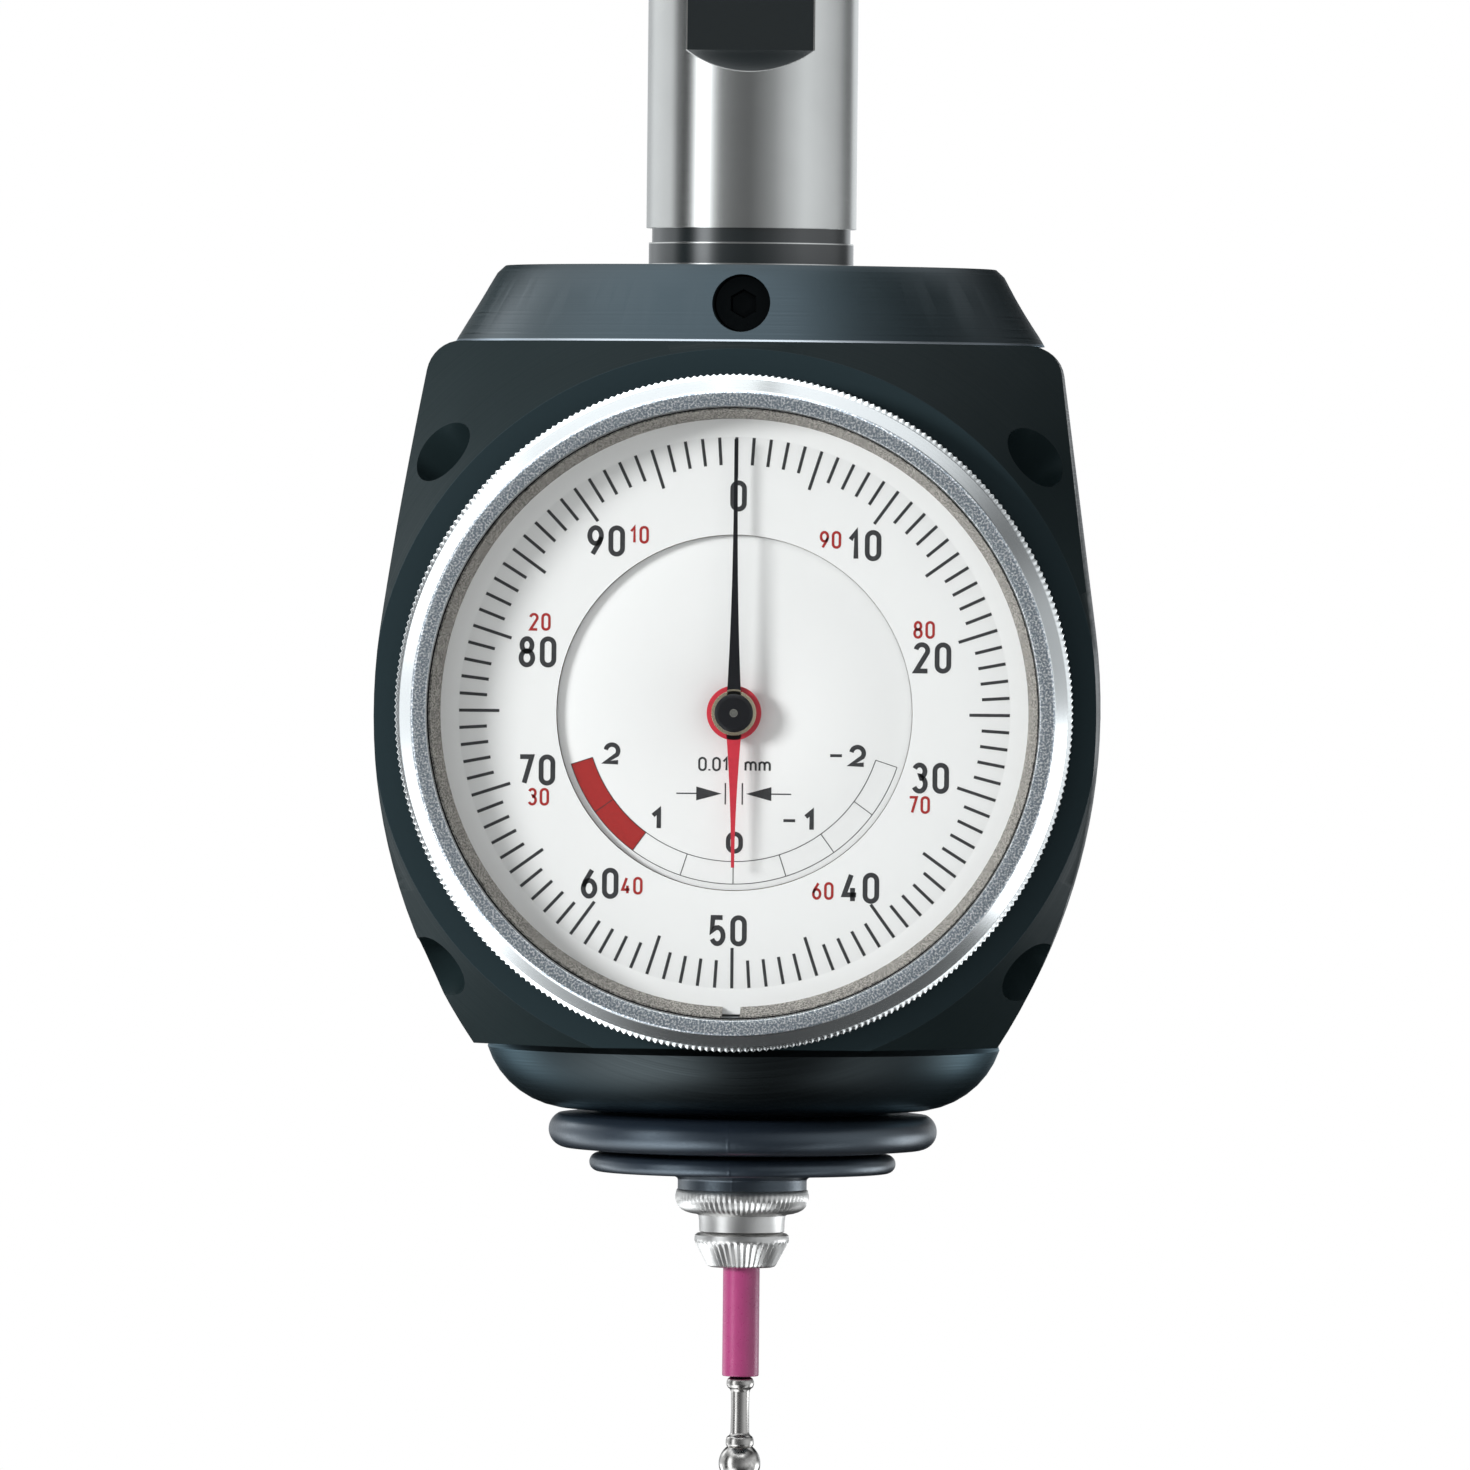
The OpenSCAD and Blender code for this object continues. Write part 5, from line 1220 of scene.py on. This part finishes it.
class EDGEFINDER_OT_nut(bpy.types.Operator):
    """Make the knurled collar with its neck and the knurled clamping nut"""
    bl_idname = "edge_finder.nut"
    bl_label = "Collar and nut"

    def execute(self, context):
        sizes = context.scene.ef_probe
        steel = turned_metal("nut_steel", sizes.nut, 0.38)
        low, high = low_high("knurled_collar")
        foot, top = low[2], high[2] + sizes.collar_rise
        rim = stations([(3.76, 0), (5.5, 0), (5.95, 0.1), (6.25, 0.4), (6.36, 0.85), (6.36, 1.3),
                        (6.32, 1.45), (6.26, 1.65), (6.1, 1.95), (5.8, 2.25), (5.4, 2.47), (4.95, 2.61),
                        (4.4, 2.69), (4.16, 2.8)], top)
        collar = np.vstack([rim, stations([(4.08, -1.1), (4.06, -0.12), (3.9, 0)], foot)])
        relief = ribs(sizes.collar_ribs, sizes.collar_rib_depth, top - 2.55 * MM, top - 1.25 * MM, 0.3 * MM)
        piece("knurled_collar_ring", [turned(collar, sizes.collar_ribs * 8, relief=relief)], steel,
              "knurled_collar", smooth=40)
        low, high = low_high("collet_nut")
        cone = stations([(1.8, 0), (3.9, 0), (4.25, 0.08), (4.46, 0.25), (4.5, 0.5), (4.5, 0.75),
                         (4.46, 0.88), (4.4, 1.05), (4.15, 1.5), (3.85, 2.05), (3.5, 2.7), (3.32, 3.05),
                         (3.15, 3.22), (2.9, 3.3), (1.8, 3.3)], high[2])
        relief = ribs(sizes.nut_ribs, sizes.nut_rib_depth, low[2] - 0.3 * MM, high[2] - 0.92 * MM, 0.3 * MM)
        piece("clamping_nut", [turned(cone, sizes.nut_ribs * 8, relief=relief)], steel, "collet_nut",
              smooth=40)
        return {"FINISHED"}


class EDGEFINDER_OT_stylus(bpy.types.Operator):
    """Make the breaking sleeve, the stylus and its ball"""
    bl_idname = "edge_finder.stylus"
    bl_label = "Stylus"

    def execute(self, context):
        sizes = context.scene.ef_probe
        self.make_sleeve(sizes)
        self.make_rod(sizes)
        self.make_ball(sizes)
        return {"FINISHED"}

    def make_rod(self, sizes):
        """Rod in the sleeve, then a rounded bead, a slim neck and a second bead on the ball."""
        sleeve_end, top = low_high("breaking_sleeve")[0][2], low_high("stylus_stem")[1][2]
        shape = stations([(0.95, -0.3), (0.98, 0.1), (1.18, 0.2), (1.3, 0.45), (1.32, 0.75), (1.22, 1.05),
                          (0.98, 1.25), (0.88, 1.5), (0.86, 3.2), (0.9, 5.4), (1.0, 5.62), (1.25, 5.8),
                          (1.34, 6.1), (1.34, 6.5), (1.15, 6.85), (0.0, 7.0)], sleeve_end)
        rod = eased(np.vstack([[(0, top), (0.95 * MM, top)], shape]), 0.08 * MM, 2)
        piece("stylus_rod", [turned(rod, 48)], turned_metal("stylus_steel", sizes.stylus, 0.24, 5),
              "stylus_stem", smooth=50)

    def make_sleeve(self, sizes):
        """Tube between the sleeve's two ends with rounded rims."""
        low, high = low_high("breaking_sleeve")
        outer, inner = radius_of("breaking_sleeve"), radius_of("stylus_stem") + 0.03 * MM
        profile = [(inner, low[2]), (outer, low[2]), (outer, high[2]), (inner, high[2])]
        piece("coloured_sleeve", [turned(eased(profile, 0.2 * MM), 72)], moulded_plastic(sizes),
              "breaking_sleeve")

    def make_ball(self, sizes):
        """Ball: radius times the cosine and sine of the latitude, turned round the spindle."""
        low, high = low_high("stylus_ball")
        radius = radius_of("stylus_ball")
        half = arc((0, (low[2] + high[2]) / 2), (radius, radius), -90, 90, 32)
        half[[0, -1], 0] = 0
        piece("tip_ball", [turned(half, 64)], ball_metal(sizes), "stylus_ball")


# Finish of the pieces inside the case: tone, roughness and the CAD nodes that have it
INNER_FINISHES = {
    "brass": ((0.60, 0.43, 0.16), 0.28, ("rear_plate", "front_plate", "plate_posts", "dial_spacer",
                                         "red_hand_wheel", "large_wheel", "transfer_wheel", "rack_arm")),
    "bronze": ((0.48, 0.27, 0.11), 0.32, ("arbor_bushes", "guide_bush", "rod_bush")),
    "bright_steel": ((0.58, 0.57, 0.55), 0.24, ("bezel_wire", "plate_screws", "return_spring", "seat_cup",
                                                "centre_arbor", "red_hand_tube", "rack_pinion_arbor",
                                                "probe_slide", "plunger_rod", "toothed_rack", "pivot_ball",
                                                "probe_holder", "holder_flange")),
    "blued_steel": ((0.07, 0.10, 0.26), 0.25, ("hairspring",)),
    "turned_aluminium": ((0.62, 0.63, 0.64), 0.35, ("dial_case", "boot_ring")),
    "seal_rubber": ((0.02, 0.02, 0.022), 0.5, ("glass_seal",)),
}


class EDGEFINDER_OT_inner(bpy.types.Operator):
    """Give the pieces inside the case their metals"""
    bl_idname = "edge_finder.inner"
    bl_label = "Inner works"

    def execute(self, context):
        metals = {}
        for name, (tone, rough, nodes) in INNER_FINISHES.items():
            metals[name] = turned_metal(name, tone, rough, dial=name == "brass")
            for node in nodes:
                data = frame["nodes"][node].data
                data.materials.clear()
                data.materials.append(metals[name])
        self.make_spring(metals["bright_steel"])
        return {"FINISHED"}

    def make_spring(self, metal):
        """Return spring's coils: a smooth copy of the node, left at rest."""
        coils = dressed("return_spring", "return_coils", metal, ride=False)
        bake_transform(coils)


STEPS = (
    EDGEFINDER_OT_stage, EDGEFINDER_OT_shank, EDGEFINDER_OT_body, EDGEFINDER_OT_screws, EDGEFINDER_OT_bezel,
    EDGEFINDER_OT_dial, EDGEFINDER_OT_hands, EDGEFINDER_OT_boot, EDGEFINDER_OT_nut, EDGEFINDER_OT_stylus,
    EDGEFINDER_OT_inner,
)


class EDGEFINDER_PT_panel(bpy.types.Panel):
    """Lists the steps and their sizes"""
    bl_idname = "EDGEFINDER_PT_panel"
    bl_label = "Edge Finder"
    bl_space_type = "VIEW_3D"
    bl_region_type = "UI"
    bl_category = "Edge Finder"

    def draw(self, context):
        for step in STEPS:
            self.layout.operator(step.bl_idname)
        for name, group in GROUPS.items():
            box = self.layout.box()
            box.label(text=group.__doc__)
            for key in group.__annotations__:
                box.prop(getattr(context.scene, name), key)


CLASSES = tuple(GROUPS.values()) + STEPS + (EDGEFINDER_PT_panel,)


def register():
    """Add the classes and their groups of sizes."""
    for made in CLASSES:
        bpy.utils.register_class(made)
    for name, group in GROUPS.items():
        setattr(bpy.types.Scene, name, bpy.props.PointerProperty(type=group))


def unregister():
    """Take away what register added."""
    for name in GROUPS:
        delattr(bpy.types.Scene, name)
    for made in reversed(CLASSES):
        bpy.utils.unregister_class(made)


def main():
    """Run each step once."""
    register()
    for step in STEPS:
        group, action = step.bl_idname.split(".")
        getattr(getattr(bpy.ops, group), action)()


if __name__ == "__main__":
    main()
